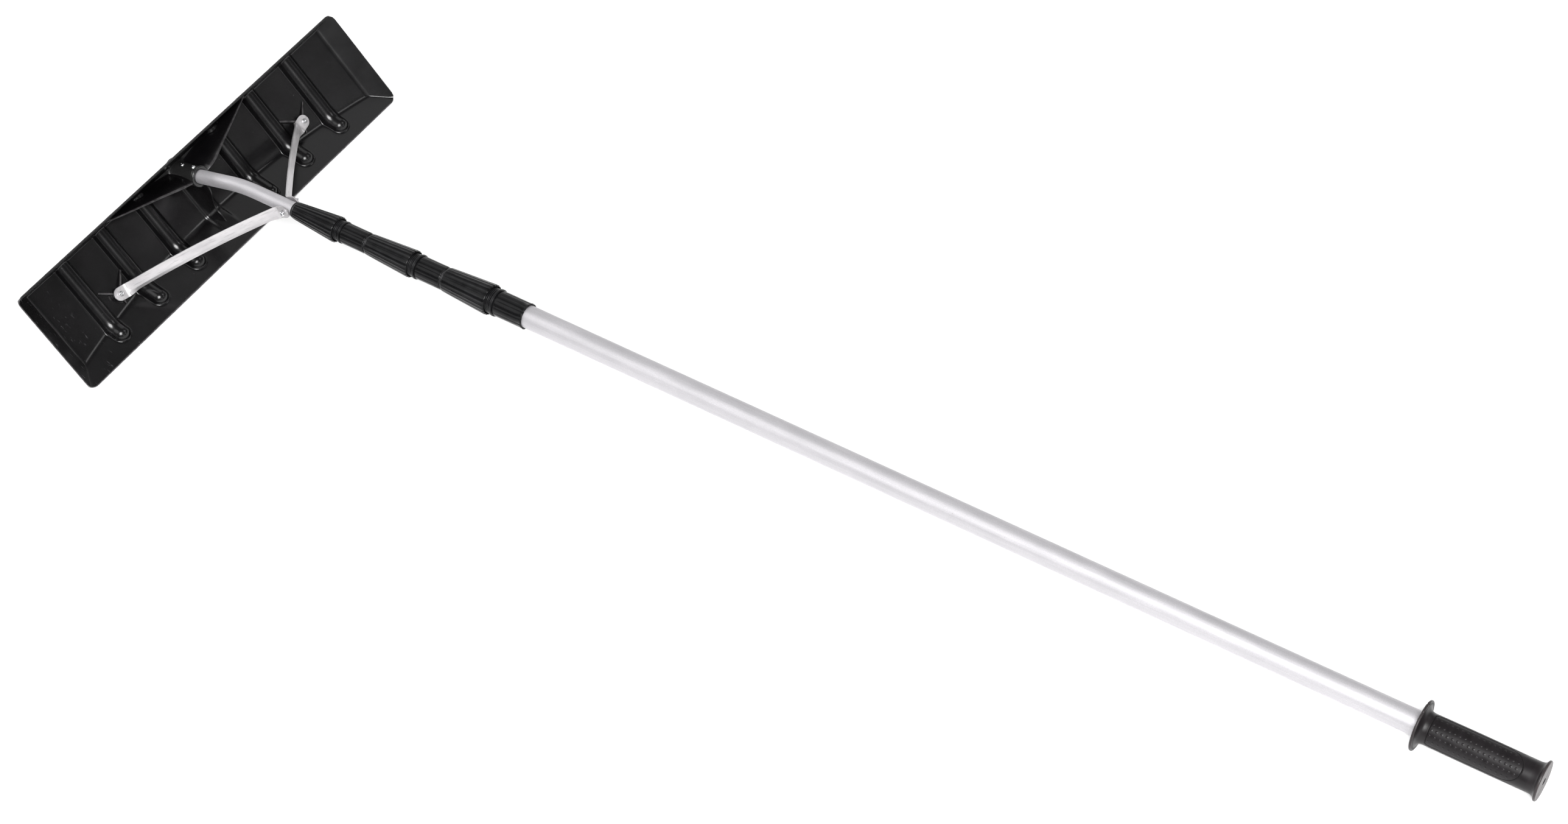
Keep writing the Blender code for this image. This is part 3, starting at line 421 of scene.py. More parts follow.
def grip_rubber():
    """Matte black rubber: fine pebble, a dusty bloom and paler rims from rubbing, with painted
    shade in its grooves, in its end hole, along the end seam and on the back of its flange.
    """
    m = Recipe("grip_rubber", 0.42, specular=0.22)
    place = m.place()
    bloom = m.noise(place, 70, 5, 0.6)
    wear_and_painted_light = m.wear_and_painted_light()
    pale_mask = m.times(wear_and_painted_light, m.fit(bloom, 0.3, 0.7, 0.55, 0.95))
    # painted shade in the grooves, the end hole and on the back of the flange
    groove = m.fit(wear_and_painted_light, 0.0, -1.0)
    specks = m.fit(m.noise(place, 800, 1), 0.78, 0.82, 0.0, 0.5)
    base = m.ramp(bloom, (0.3, (0.0040, 0.0031, 0.0036)), (0.75, (0.0076, 0.0062, 0.0071)))
    base = m.mixed(pale_mask, base, (0.062, 0.053, 0.053))
    base = m.mixed(groove, base, (0.0015, 0.0013, 0.0014))
    base = m.mixed(specks, base, (0.07, 0.065, 0.065))
    rough = m.plus(m.fit(bloom, 0.3, 0.7, 0.36, 0.46), m.times(groove, 0.4))
    return m.finish(base, rough, m.bump(m.noise(place, 2200, 2), 0.00006, 0.5))


def studio_floor():
    """Plain pale floor."""
    m = Recipe("studio_floor", 0.9, specular=0.1)
    return m.finish(m.ramp(m.noise(m.place(), 3, 2), (0.3, 0.945), (0.7, 0.955)))


MAKERS = (blade_plastic, socket_plastic, clamp_plastic, tube_aluminium, brace_aluminium,
          screw_steel, grip_rubber, collet_plastic)
MATERIALS = {maker.__name__: maker() for maker in MAKERS}


# ---- shape helpers
def smooth_min(a, b, size):
    """The smaller value, with the change-over rounded."""
    h = np.clip(0.5 + 0.5 * (b - a) / size, 0, 1)
    return b * (1 - h) + a * h - size * h * (1 - h)


def smooth_max(a, b, size):
    return -smooth_min(-a, -b, size)


def smooth_step(share):
    """Ease a share between 0 and 1 in and out."""
    return share * share * (3 - 2 * share)


def bell(offset, width):
    """1 at no offset, falling away on both sides."""
    return np.exp(-(offset / width) ** 2)


def circle(columns):
    """Angles of evenly spaced columns."""
    return 2 * math.pi * np.arange(columns) / columns


def axis_frame(origin, direction):
    """Frame whose Z points in a direction."""
    rotation = Vector(direction).to_track_quat("Z", "Y").to_matrix().to_4x4()
    return Matrix.Translation(origin) @ rotation


def put(name, data, place):
    """A new object in the scene."""
    thing = bpy.data.objects.new(name, data)
    bpy.context.scene.collection.objects.link(thing)
    thing.matrix_world = place
    return thing


def new_piece(name, points, faces, material, place, body, slot=None, replaced=(), sharp=38,
              wear_and_painted_light=None, bevel=None):
    """Make a closed mesh in a local frame and let it ride on a CAD body."""
    if place is BLADE:  # world coordinates keep the piece's box tight
        turn = np.array(BLADE)
        points = np.array([tuple(p) for p in points]) @ turn[:3, :3].T + turn[:3, 3]
        place = Matrix()
    mesh = bpy.data.meshes.new(name)
    mesh.from_pydata([tuple(p) for p in points], [], [tuple(f) for f in faces])
    if wear_and_painted_light is not None:
        attribute = mesh.attributes.new("wear_and_painted_light", "FLOAT", "POINT")
        attribute.data.foreach_set("value", np.asarray(wear_and_painted_light, np.float32))
    bm = bmesh.new()
    bm.from_mesh(mesh)
    bmesh.ops.recalc_face_normals(bm, faces=bm.faces)
    bm.to_mesh(mesh)
    bm.free()
    mesh.materials.append(MATERIALS[material])
    mesh.shade_smooth()
    mesh.set_sharp_from_angle(angle=math.radians(sharp))
    piece = put(name, mesh, place)
    if bevel:
        modifier = piece.modifiers.new("Bevel", "BEVEL")
        modifier.width = bevel
        modifier.segments = 3
        modifier.limit_method = "ANGLE"
        modifier.angle_limit = math.radians(30)
    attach(piece, body)
    if replaced:
        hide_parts(*replaced)


def turned_piece(name, rows, columns, material, place, body, ring=False, **details):
    """A piece turned round Z. A row is (radius, z) or (radius, z, tone), each a number or one
    value per column; the tone goes into the mesh's attribute for rubbing, painted highlights and
    painted shade. Rows of radius 0 close it on the axis, and a ring joins its last row to its
    first."""
    angles = circle(columns)
    points, wear_and_painted_light, index = [], [], []
    for radius, z, *tone in rows:
        tone = tone[0] if tone else 0.0
        if np.isscalar(radius) and radius == 0:
            index.append([len(points)] * columns)
            points.append((0.0, 0.0, z))
            wear_and_painted_light.append(tone)
            continue
        index.append(list(range(len(points), len(points) + columns)))
        points += list(zip(radius * np.cos(angles), radius * np.sin(angles),
                           np.broadcast_to(z, columns)))
        wear_and_painted_light += list(np.broadcast_to(tone, columns))
    faces = []
    for i in range(len(rows) if ring else len(rows) - 1):
        lower, upper = index[i], index[(i + 1) % len(rows)]
        for k in range(columns):
            n = (k + 1) % columns
            faces.append(list(dict.fromkeys((lower[k], lower[n], upper[n], upper[k]))))
    new_piece(name, points, faces, material, place, body, wear_and_painted_light=wear_and_painted_light, **details)


def steps(radius, z, *offsets):
    """Rows of a turned piece beside one corner of its profile. Each offset holds millimetres of
    radius, millimetres of height and perhaps the tone for the mesh's attribute of rubbing,
    painted highlights and painted shade."""
    return [(radius + out / 1000, z + up / 1000, *tone) for out, up, *tone in offsets]


def loft_shape(sections, ring=False):
    """Points and faces through closed sections of equal point counts. A ring joins the last
    section to the first, and any other loft is capped."""
    count = len(sections[0])
    points = [tuple(p) for section in sections for p in section]
    faces = []
    for i in range(len(sections) if ring else len(sections) - 1):
        a, b = i * count, (i + 1) % len(sections) * count
        for k in range(count):
            n = (k + 1) % count
            faces.append((a + k, a + n, b + n, b + k))
    if not ring:
        faces.append(tuple(range(count)))
        faces.append(tuple(len(points) - 1 - k for k in range(count)))
    return points, faces


# ---- blade
def panel_depth(u):
    """How far the panel lies behind the rim plane. It is curved along the blade."""
    fall = PANEL_DEPTH_MID - PANEL_DEPTH_END
    return PANEL_DEPTH_MID - fall * (u / PANEL_HALF_LENGTH) ** 2


def tray_depth(u, v, wall):
    """Depth of the plain tray, without its ribs, with its bends rounded."""
    def offset(slope):
        return wall * math.sqrt(1 + slope ** 2)

    panel = panel_depth(np.minimum(np.abs(u), PANEL_HALF_LENGTH)) + wall
    lip = LIP_SLOPE * v + offset(LIP_SLOPE)
    side = SIDE_SLOPE * (BLADE_HALF - np.abs(u)) + offset(SIDE_SLOPE)
    top = TOP_WALL_SLOPE * (BLADE_HEIGHT - TOP_RIM_WIDTH - v) + offset(TOP_WALL_SLOPE)
    depth = smooth_min(panel, smooth_max(top, wall, RIM_BLEND), TOP_BEND_BLEND)
    depth = smooth_min(depth, smooth_min(lip, side, RIM_BLEND), PANEL_BEND_BLEND)
    # a low, wide rib in the middle, which fades out towards the rim
    across = np.abs(u) - CENTRE_RIB_HALF_WIDTH
    low_rib = np.clip(0.5 - across / CENTRE_RIB_FLANK, 0, 1)
    inside = np.clip((depth / PANEL_DEPTH_MID - 0.4) / 0.5, 0, 1)
    return depth - CENTRE_RIB_RISE * smooth_step(low_rib) * smooth_step(inside)


def segment_distance(point, a, b):
    """Distance from points, given as three arrays, to a straight segment."""
    run = np.subtract(b, a)
    offset = [point[i] - a[i] for i in range(3)]
    share = sum(offset[i] * run[i] for i in range(3)) / float(run @ run)
    share = np.clip(share, 0, 1)
    return np.sqrt(sum((offset[i] - share * run[i]) ** 2 for i in range(3)))


def rib_distance(point, centre, wall):
    """Distance to a round rib that runs down the panel, bends and ends on the lip."""
    depth = panel_depth(centre) + wall * 0.5
    bend = panel_depth(centre) / LIP_SLOPE
    elbow = (centre, bend, -depth)
    top = (centre, BLADE_HEIGHT, -depth)
    tip = (centre, RIB_END_HEIGHT, -LIP_SLOPE * RIB_END_HEIGHT - wall * 0.5)
    upper = segment_distance(point, elbow, top)
    lower = segment_distance(point, elbow, tip)
    return smooth_min(upper, lower, RIB_ELBOW_BLEND) - (RIB_RADIUS - wall)


def face_height(u, v, wall=0.0):
    """Height of the working face, or of the back when wall is given: it comes down onto the
    tray and its ribs step by step."""
    step = 0.0002
    depth = tray_depth(u, v, wall)
    rise_u = (tray_depth(u + step, v, wall) - tray_depth(u - step, v, wall)) / (2 * step)
    rise_v = (tray_depth(u, v + step, wall) - tray_depth(u, v - step, wall)) / (2 * step)
    stretch = np.sqrt(1 + rise_u ** 2 + rise_v ** 2)
    centres = [k * RIB_PITCH for k in range(-RIB_COUNT_EACH_SIDE, RIB_COUNT_EACH_SIDE + 1) if k]
    height = np.full(u.shape, 0.004)
    for _ in range(FACE_STEPS):
        distance = (height + depth) / stretch
        for centre in centres:
            near = np.abs(u - centre) < 2 * RIB_RADIUS
            rib = rib_distance((u[near], v[near], height[near]), centre, wall)
            distance[near] = smooth_min(distance[near], rib, RIB_FILLET)
        height = height - 0.9 * distance
    return height


def blade_columns():
    """Places of the grid's lines across the blade. They crowd on the ribs and the corners."""
    beside = (17, 15.6, 14.6, 13.8, 13.2, 12.7, 12.2, 11.7, 11.0, 10.2, 9.0, 7.4, 5.5, 3.6, 1.8)
    offsets = [-b / 1000 for b in beside] + [0.0] + [b / 1000 for b in reversed(beside)]
    places = {0.0, 0.004, 0.008, 0.0102, 0.0112, 0.0121, 0.013, 0.0139, 0.0148, 0.0158, 0.018}
    for k in range(1, RIB_COUNT_EACH_SIDE + 1):
        places |= {k * RIB_PITCH + offset for offset in offsets}
    for k in range(RIB_COUNT_EACH_SIDE + 1):
        last = k == RIB_COUNT_EACH_SIDE
        end = PANEL_HALF_LENGTH - 0.004 if last else (k + 1) * RIB_PITCH - RIB_REACH
        places |= set(np.linspace(k * RIB_PITCH + RIB_REACH, end, 9))
    places |= set(np.linspace(PANEL_HALF_LENGTH - 0.0032, PANEL_HALF_LENGTH + 0.004, 9))
    places |= set(np.linspace(PANEL_HALF_LENGTH + 0.0062, BLADE_HALF - CORNER_RADIUS, 4))
    places |= {BLADE_HALF - CORNER_RADIUS * (1 - math.sin(math.radians(a)))
               for a in (12, 24, 36, 48, 60, 90)}
    places.add(BLADE_HALF - EDGE_ROUND)
    ordered = np.array(sorted(places))
    ordered = ordered[np.append(True, np.diff(ordered) > 0.0002)]
    return np.concatenate([-ordered[:0:-1], ordered])


def blade_rows(u):
    """Heights of the grid's points on one column, crowded at the bend and the top wall."""
    side = max(SIDE_SLOPE * (BLADE_HALF - abs(u)), 0.0016)
    depth = min(panel_depth(min(abs(u), PANEL_HALF_LENGTH)), side)
    bend = depth / LIP_SLOPE
    wall_top = BLADE_HEIGHT - TOP_RIM_WIDTH
    foot = wall_top - depth / TOP_WALL_SLOPE
    squeeze = min(1.0, depth / PANEL_DEPTH_END)
    round_bend = 0.0036 * squeeze
    round_foot = 0.006 * squeeze
    rows = [0.0, EDGE_ROUND * squeeze]
    for end, count in ((bend - round_bend, 36), (bend + round_bend, 10), (foot - round_foot, 30),
                       (wall_top - 0.0005 * squeeze, 20)):
        rows += list(np.linspace(rows[-1], end, count)[1:])
    rows = np.array(rows + [wall_top, wall_top + 0.0008, BLADE_HEIGHT - EDGE_ROUND, BLADE_HEIGHT])
    beyond = abs(u) - (BLADE_HALF - CORNER_RADIUS)
    if beyond > 0:
        cut = CORNER_RADIUS - math.sqrt(max(CORNER_RADIUS ** 2 - beyond ** 2, 0.0))
        rows = cut + rows * (BLADE_HEIGHT - 2 * cut) / BLADE_HEIGHT
    return rows


def blade_shell():
    """The ribbed tray as two fine sheets, front and back, joined round a rounded edge."""
    columns = blade_columns()
    v = np.array([blade_rows(c) for c in columns])
    u = np.repeat(columns[:, None], v.shape[1], axis=1)
    front = face_height(u, v)
    back = face_height(u, v, BLADE_WALL)
    rim = np.zeros(u.shape, bool)
    rim[0, :] = rim[-1, :] = rim[:, 0] = rim[:, -1] = True
    front = np.where(rim, front - EDGE_ROUND, front)
    back = np.where(rim, back + EDGE_ROUND, np.minimum(back, front - BLADE_WALL_LEAST))
    inset = np.minimum(v[:, -1:] - v, BLADE_HALF - np.abs(u))
    # 1 along the scraping edge, which is a painted highlight, and up to 0.6 on the other edges
    wear_and_painted_light = np.maximum(np.clip(1.0 - (v - v[:, :1]) / 0.0016, 0, 1),
                      0.6 * np.clip(1.0 - inset / 0.0014, 0, 1))
    width, height = u.shape
    total = u.size
    points = np.concatenate([np.stack([u, v, w], -1).reshape(-1, 3) for w in (front, back)])
    grid = np.arange(total).reshape(width, height)
    sheet = np.stack([grid[:-1, :-1], grid[1:, :-1], grid[1:, 1:], grid[:-1, 1:]], -1)
    sheet = sheet.reshape(-1, 4)
    border = np.concatenate([grid[0], grid[1:, -1], grid[-1, -2::-1], grid[-2:0:-1, 0]])
    ahead = np.roll(border, -1)
    edge = np.stack([border, ahead, total + ahead, total + border], -1)
    faces = np.concatenate([sheet, total + sheet[:, [0, 3, 2, 1]], edge])
    new_piece("blade_shell", points, faces, "blade_plastic", BLADE, "head", replaced=("blade",),
              wear_and_painted_light=np.concatenate([wear_and_painted_light.ravel()] * 2), sharp=50)


def blade_socket():
    """Round socket with a thick rolled rim. Its foot flares into the panel's wall."""
    columns = 72
    place = axis_frame(SOCKET_MOUTH, SOCKET_DIRECTION)
    angles = circle(columns)
    radial_w = place[2][0] * np.cos(angles) + place[2][1] * np.sin(angles)

    def at_panel(radius, above):
        level = -PANEL_DEPTH_MID - BLADE_WALL / 2 + above
        return (level - place[2][3] - radius * radial_w) / SOCKET_DIRECTION.z

    bore = HEAD_TUBE_RADIUS + GAP
    rows = [(bore, -SOCKET_BORE_DEPTH)] + steps(bore, 0.0, (0, -0.9), (0.3, -0.3), (1.0, 0, 0.15))
    for angle in np.radians(range(0, 181, 20)):
        swell = SOCKET_RIM_ROUND * math.sin(angle)
        along = SOCKET_RIM_ROUND * (math.cos(angle) - 1)
        rows.append((SOCKET_RIM_RADIUS - SOCKET_RIM_ROUND + swell, along, 0.3))
    rows += steps(SOCKET_RADIUS, 0.0, (-0.3, -4.2), (0, -5.2))
    for flare, above in ((0.0, 0.0110), (0.0003, 0.0075), (0.0012, 0.0050), (0.0026, 0.0034),
                         (0.0050, 0.0018), (0.0052, 0.0)):
        rows.append((SOCKET_RADIUS + flare, at_panel(SOCKET_RADIUS + flare, above)))
    rows.append((bore, at_panel(bore, 0.0)))
    turned_piece("blade_socket", rows, columns, "socket_plastic", BLADE @ place, "head",
                 ring=True, slot="blade_plastic", sharp=60)


def blade_wing(name, side):
    """Web from the socket's side to the top wall. Its free edge is a round bead that is
    thick beside the socket and thins outwards."""
    stations = np.array(WING_STATIONS) / 1000
    first, last = stations[0, 0], stations[-1, 0]
    shares = np.array([0.0, 0.06, 0.15, 0.3, 0.5, 0.7, 0.85, 0.95])
    arc = np.radians(np.linspace(0, 180, 9))
    tone = [0.0] * len(shares) + [0.25] * len(arc) + [0.0] * len(shares)
    sections = []
    for u in np.append(np.linspace(first, 0.04, 24), np.linspace(0.044, last, 26)):
        root_v, root_w, edge_v, edge_w, bead = (np.interp(u, stations[:, 0], column)
                                                for column in stations.T[1:])
        root = np.array([root_v, root_w])
        edge = np.array([edge_v, edge_w])
        length = np.hypot(*(edge - root))
        run = (edge - root) / length
        normal = np.array([-run[1], run[0]])
        centre = edge - run * bead
        reach = length - bead
        curl = WING_CURL * (0.35 + 0.65 * bell(u - 0.03, 0.05)) * min(1.0, length / 0.04)
        flanks = []
        for hand in (1, -1):
            flank = []
            for share in shares:
                flare = 0.0022 * math.exp(-share * reach / 0.0025)
                half = WING_HALF_WALL + (bead - WING_HALF_WALL) * share ** 4 + flare
                offset = normal * (hand * half + curl * (share ** 3 - share))
                flank.append(root + run * (share * reach) + offset)
            flanks.append(flank)
        outline = flanks[0] + [centre + (normal * math.cos(a) + run * math.sin(a)) * bead
                               for a in arc] + flanks[1][::-1]
        sections.append([(side * u, v, w) for v, w in outline])
    points, faces = loft_shape(sections)
    new_piece(name, points, faces, "blade_plastic", BLADE, "head", wear_and_painted_light=tone * len(sections),
              sharp=60)


def blade_gusset():
    """Thin fin under the socket, from its rim down to a point on the lip."""
    sides = (-GUSSET_HALF_WALL, GUSSET_HALF_WALL)
    points, faces = loft_shape([[(x, y / 1000, z / 1000) for y, z in GUSSET_OUTLINE]
                                for x in sides])
    new_piece("blade_gusset", points, faces, "blade_plastic", BLADE, "head", sharp=30,
              bevel=0.0007)


def brace_boss(name, side):
    """Round boss that the brace is screwed to. Its foot flares into the panel."""
    depth = panel_depth(BOSS[0])
    rows = [(0, BOSS_BACK)] + steps(BOSS_RADIUS, BOSS_BACK, (-1.0, 0), (0, 1.0))
    rows += steps(BOSS_RADIUS, -depth - BLADE_WALL / 2, (3.5, 0))
    rows += steps(BOSS_RADIUS, -depth, (3.0, 0.1), (1.2, 0.6), (0.3, 1.8), (0, 3.0))
    rows += steps(BOSS_RADIUS, BOSS[2], (0, -0.8), (-0.3, -0.2, 0.4), (-0.9, 0, 0.2))
    rows.append((0, BOSS[2]))
    place = BLADE @ Matrix.Translation((side * BOSS[0], BOSS[1], 0))
    turned_piece(name, rows, 56, "blade_plastic", place, "head", sharp=50)


def boss_fin(name, side, tip):
    """Triangular fin beside a boss: tall at the boss and level with the panel at its tip."""
    base = Vector((side * BOSS[0], BOSS[1], 0))
    run = Vector((side * tip[0], tip[1], 0))
    across = Vector((-run.y, run.x, 0)).normalized() * FIN_HALF_WALL
    top = BOSS[2] - 0.0008
    sections = []
    tone = [0.0, 0.0, 0.0, 0.15, 0.3, 0.3, 0.15, 0.0, 0.0, 0.0]
    for share in np.linspace(0.1, 1.0, 8):
        centre = base + run * share
        foot = -panel_depth(BOSS[0] + tip[0] * share) - BLADE_WALL / 2
        panel = foot + BLADE_WALL / 2
        rise = (top - foot) * (1 - share) / 0.9 + BLADE_WALL * 0.75
        crest = min(foot + rise, top)
        flank = [(2.2, foot), (1.25, panel + 0.0006), (1.0, panel + 0.0014),
                 (1.0, crest - 0.0006), (0.6, crest - 0.0001)]
        ring = [(-out, height) for out, height in flank] + flank[::-1]
        sections.append([(*(centre + across * out).xy, max(min(height, crest), foot))
                         for out, height in ring])
    points, faces = loft_shape(sections)
    new_piece(name, points, faces, "blade_plastic", BLADE, "head", sharp=45,
              wear_and_painted_light=tone * len(sections))


def blade():
    blade_shell()
    blade_socket()
    blade_gusset()
    for side, hand in ((-1, "left"), (1, "right")):
        blade_wing(f"blade_wing_{hand}", side)
        brace_boss(f"brace_boss_{hand}", side)
        for number, tip in enumerate(BOSS_FIN_TIPS):
            boss_fin(f"boss_fin_{hand}_{number + 1}", side, tip)


# ---- tubes
def head_tube_path():
    """Centreline in the blade frame: straight in the socket, a bend, then the pole."""
    bend = POLE_TILT - SOCKET_TILT
    offset = SOCKET_MOUTH - POLE_ROOT
    pole_up = Vector((0, math.cos(POLE_TILT), math.sin(POLE_TILT)))
    corner = SOCKET_MOUTH - SOCKET_DIRECTION * (offset.dot(pole_up) / math.sin(bend))
    first = corner - SOCKET_DIRECTION * (HEAD_BEND_RADIUS * math.tan(bend / 2))
    centre = first - SOCKET_UP * HEAD_BEND_RADIUS
    path = [(SOCKET_MOUTH - SOCKET_DIRECTION * (SOCKET_BORE_DEPTH - 0.001), SOCKET_DIRECTION),
            (SOCKET_MOUTH, SOCKET_DIRECTION)]
    for angle in SOCKET_TILT + bend * np.linspace(0, 1, 19):
        radial = Vector((0, math.cos(angle), math.sin(angle)))
        path.append((centre + radial * HEAD_BEND_RADIUS, Vector((0, -radial.z, radial.y))))
    straight = along_pole("head_tube")[1] - BRACE_STATION
    for share in (0.1, 0.4, 1.0):
        station = BRACE_STATION + straight * share
        path.append((POLE_ROOT + POLE_DIRECTION * station, POLE_DIRECTION))
    return path


def head_tube():
    """Bent tube, lofted along its outside and back along its bore."""
    path = head_tube_path()
    to_pole = POLE.inverted() @ BLADE
    rings = []
    for radius, way in ((HEAD_TUBE_RADIUS, path), (HEAD_TUBE_RADIUS - TUBE_WALL, path[::-1])):
        for centre, direction in way:
            up = Vector((0, direction.z, -direction.y))
            rings.append([to_pole @ (centre + (X_AXIS * math.cos(a) + up * math.sin(a)) * radius)
                          for a in circle(72)])
    points, faces = loft_shape(rings, ring=True)
    new_piece("head_tube_fine", points, faces, "tube_aluminium", POLE, "head",
              replaced=("head_tube",))


def straight_tube(node, body):
    """Plain tube with softened ends."""
    start, end, _, outer = along_pole(node)
    inner = outer - TUBE_WALL
    length = np.linspace(start + TUBE_EDGE, end - TUBE_EDGE, 9)
    rows = [(outer, z) for z in length]
    rows += [(outer - TUBE_EDGE, end), (inner + TUBE_EDGE, end)]
    rows += [(inner, z) for z in length[::-1]]
    rows += [(inner + TUBE_EDGE, start), (outer - TUBE_EDGE, start)]
    turned_piece(f"{node}_fine", rows, 96, "tube_aluminium", POLE, body, ring=True,
                 replaced=(node,))


# ---- twist-lock clamps
def scallops(count, columns, ridge):
    """0 on the ridges between flutes and 1 along the middle of each flute."""
    share = (np.arange(columns) * count / columns) % 1.0
    across = np.clip((0.5 - np.abs(share - 0.5)) / (0.5 * (1 - ridge)) - ridge, 0, 1)
    return np.sqrt(1 - (1 - across) ** 2)


def clamp_nut(number, body):
    """Tapered nut with long flutes, a chamfered nose and a scalloped rim at its rear."""
    node = f"clamp_nut_{number}"
    start, end, bore, rear = along_pole(node)
    front = NUT_FRONT_RADII[number - 1]
    columns = NUT_FLUTES * 10
    flute = scallops(NUT_FLUTES, columns, 0.12)
    edge = 1 - flute
    chamfer = end - 0.0022
    thread = NUT_THREAD_RADII[number - 1] + GAP
    rows = steps(bore, start, (0, 16), (0, 0.8), (0.7, 0))
    # the high tones on the nose chamfer are a painted highlight
    rows += steps(front, start, (-2.8, 0, 0.2), (-2.0, 0.3, 0.8), (-0.6, 1.7, 0.8),
                  (0.1, 3.0, 0.4))
    for share in np.linspace(0.06, 1.0, 10):
        depth = NUT_FLUTE_DEPTH * min(1.0, share / 0.15)
        rows.append((front + (rear - front) * share - depth * flute,
                     start + (chamfer - start) * share, 0.3 * edge))
    fluted = rear - NUT_FLUTE_DEPTH * flute
    rows += steps(fluted, chamfer, (-0.1, 0.7, 0.3 * edge), (-0.4, 1.4, 0.2 * edge))
    rows += steps(rear - 0.8 * NUT_FLUTE_DEPTH * flute, end, (-1.0, -0.3))
    rows += steps(rear, end, (-1.6, -0.1))
    rows += steps(thread, end, (1.7, 0), (1.4, -0.4), (1.2, -3.0), (0, -4.2))
    rows += steps(thread, start, (0, 50))
    turned_piece(f"{node}_fine", rows, columns, "clamp_plastic", POLE, body, ring=True,
                 replaced=(node,), sharp=40)


def clamp_body(number, body):
    """Sleeve behind a nut: round thread rings, a shoulder ring and long flats. The last one
    has a notched collar at its end, and the others taper."""
    node = f"clamp_body_{number}"
    start, end, bore, shoulder = along_pole(node)
    nut_end = along_pole(f"clamp_nut_{number}")[1]
    thread = NUT_THREAD_RADII[number - 1]
    sleeve = SLEEVE_RADII[number - 1]
    tube = along_pole(TUBE_OF_CLAMP[number - 1])[3] + GAP
    columns = SLEEVE_FLATS * 18
    share = (np.arange(columns) * SLEEVE_FLATS / columns) % 1.0
    from_groove = 0.5 - np.abs(share - 0.5)
    crown = 0.00025 * (1 - np.cos(2 * math.pi * share)) / 2
    flat = sleeve - 0.0005 - 0.0005 * bell(from_groove, 0.035) + crown
    rows = [(bore, start)] + steps(thread, start, (-0.4, 0), (0, 0.5))
    ring_start = nut_end - 0.0022
    rows += [(thread, z) for z in np.linspace(start + 0.001, ring_start - 0.0008, 4)]
    for ring in range(3):
        z = ring_start + THREAD_RING_PITCH * ring
        rows += steps(thread, z, (-0.6, 0), (-0.6, 0.3), (-0.1, 0.6, 0.2), (0, 1.1, 0.2))
        rows += steps(thread, z + THREAD_RING_PITCH, (0, -0.7, 0.2), (-0.1, -0.3, 0.2))
    neck = ring_start + 3 * THREAD_RING_PITCH
    rows += steps(thread, neck, (-1.1, 0), (-1.1, 0.8))
    rows += steps(shoulder, neck, (-0.7, 1.2, 0.2), (-0.2, 1.7, 0.3), (0, 2.5, 0.2),
                  (0, 4.2, 0.2), (-0.3, 4.9, 0.2))
    rows += steps(sleeve, neck, (-0.9, 5.2), (-0.9, 5.9), (-0.5, 6.4, 0.1))
    for z in np.linspace(neck + 0.0080, end - 0.0024, 6):
        rows.append((flat, z, 0.2 * bell(from_groove - 0.07, 0.03)))
    notched = number == 3
    notch = (0.0010 if notched else 0.0) * bell(from_groove, 0.12)
    flared = flat + (0.0006 if notched else -0.0004)
    rows += steps(flared - notch, end, (0, -1.0, 0.2), (-0.4, -0.2, 0.2))
    rows += steps(flared - notch * 0.5, end, (-1.2, 0)) + steps(tube, end, (0.6, 0), (0, -0.6))
    rows += steps(tube, start, (0, 4.5)) + steps(bore, start, (0, 4.5))
    turned_piece(f"{node}_fine", rows, columns, "clamp_plastic", POLE, body, ring=True,
                 replaced=(node,), sharp=50)


# ---- grip
def tongue_distance(z, arc, start, end):
    """Distance to the outline of the grip's inlay: square at one end, round at the other."""
    stretch = 1.1
    beyond = (z - (end - INLAY_HALF_WIDTH * stretch)) / stretch
    side = np.hypot(max(beyond, 0), arc) - INLAY_HALF_WIDTH
    return smooth_max(side, start - z, 0.004)


def grip_relief(z, angle, start, end):
    """How far the grip's skin stands out of its plain turned shape, and the painted shade of its
    grooves.
    """
    relief = np.zeros_like(angle)
    shade = np.zeros_like(angle)
    first = start + 0.0025
    dot_z = np.round((z - first) / DOT_PITCH) * DOT_PITCH + first
    within = np.clip((z - start) / 0.006, 0, 1) * np.clip((end - z) / 0.012, 0, 1)
    for centre in (INLAY_ANGLE, INLAY_ANGLE + math.pi):
        arc = ((angle - centre + math.pi) % (2 * math.pi) - math.pi) * GRIP_RADIUS
        distance = tongue_distance(z, arc, start, end)
        groove = bell(distance, 0.00042)
        shade -= groove
        ridge = bell(np.abs(arc) - INLAY_HALF_WIDTH - 0.0026, 0.0007)
        dot = np.hypot(z - dot_z, arc - np.round(arc / DOT_ROW_PITCH) * DOT_ROW_PITCH)
        inside = np.clip((-distance - 0.0019) / 0.0005, 0, 1)
        dots = inside * np.clip(1 - (dot / DOT_RADIUS) ** 2, 0, 1) ** 0.7
        relief += 0.0003 * within * ridge + DOT_HEIGHT * dots - 0.0008 * groove
    return relief, np.clip(shade, -1, 0)


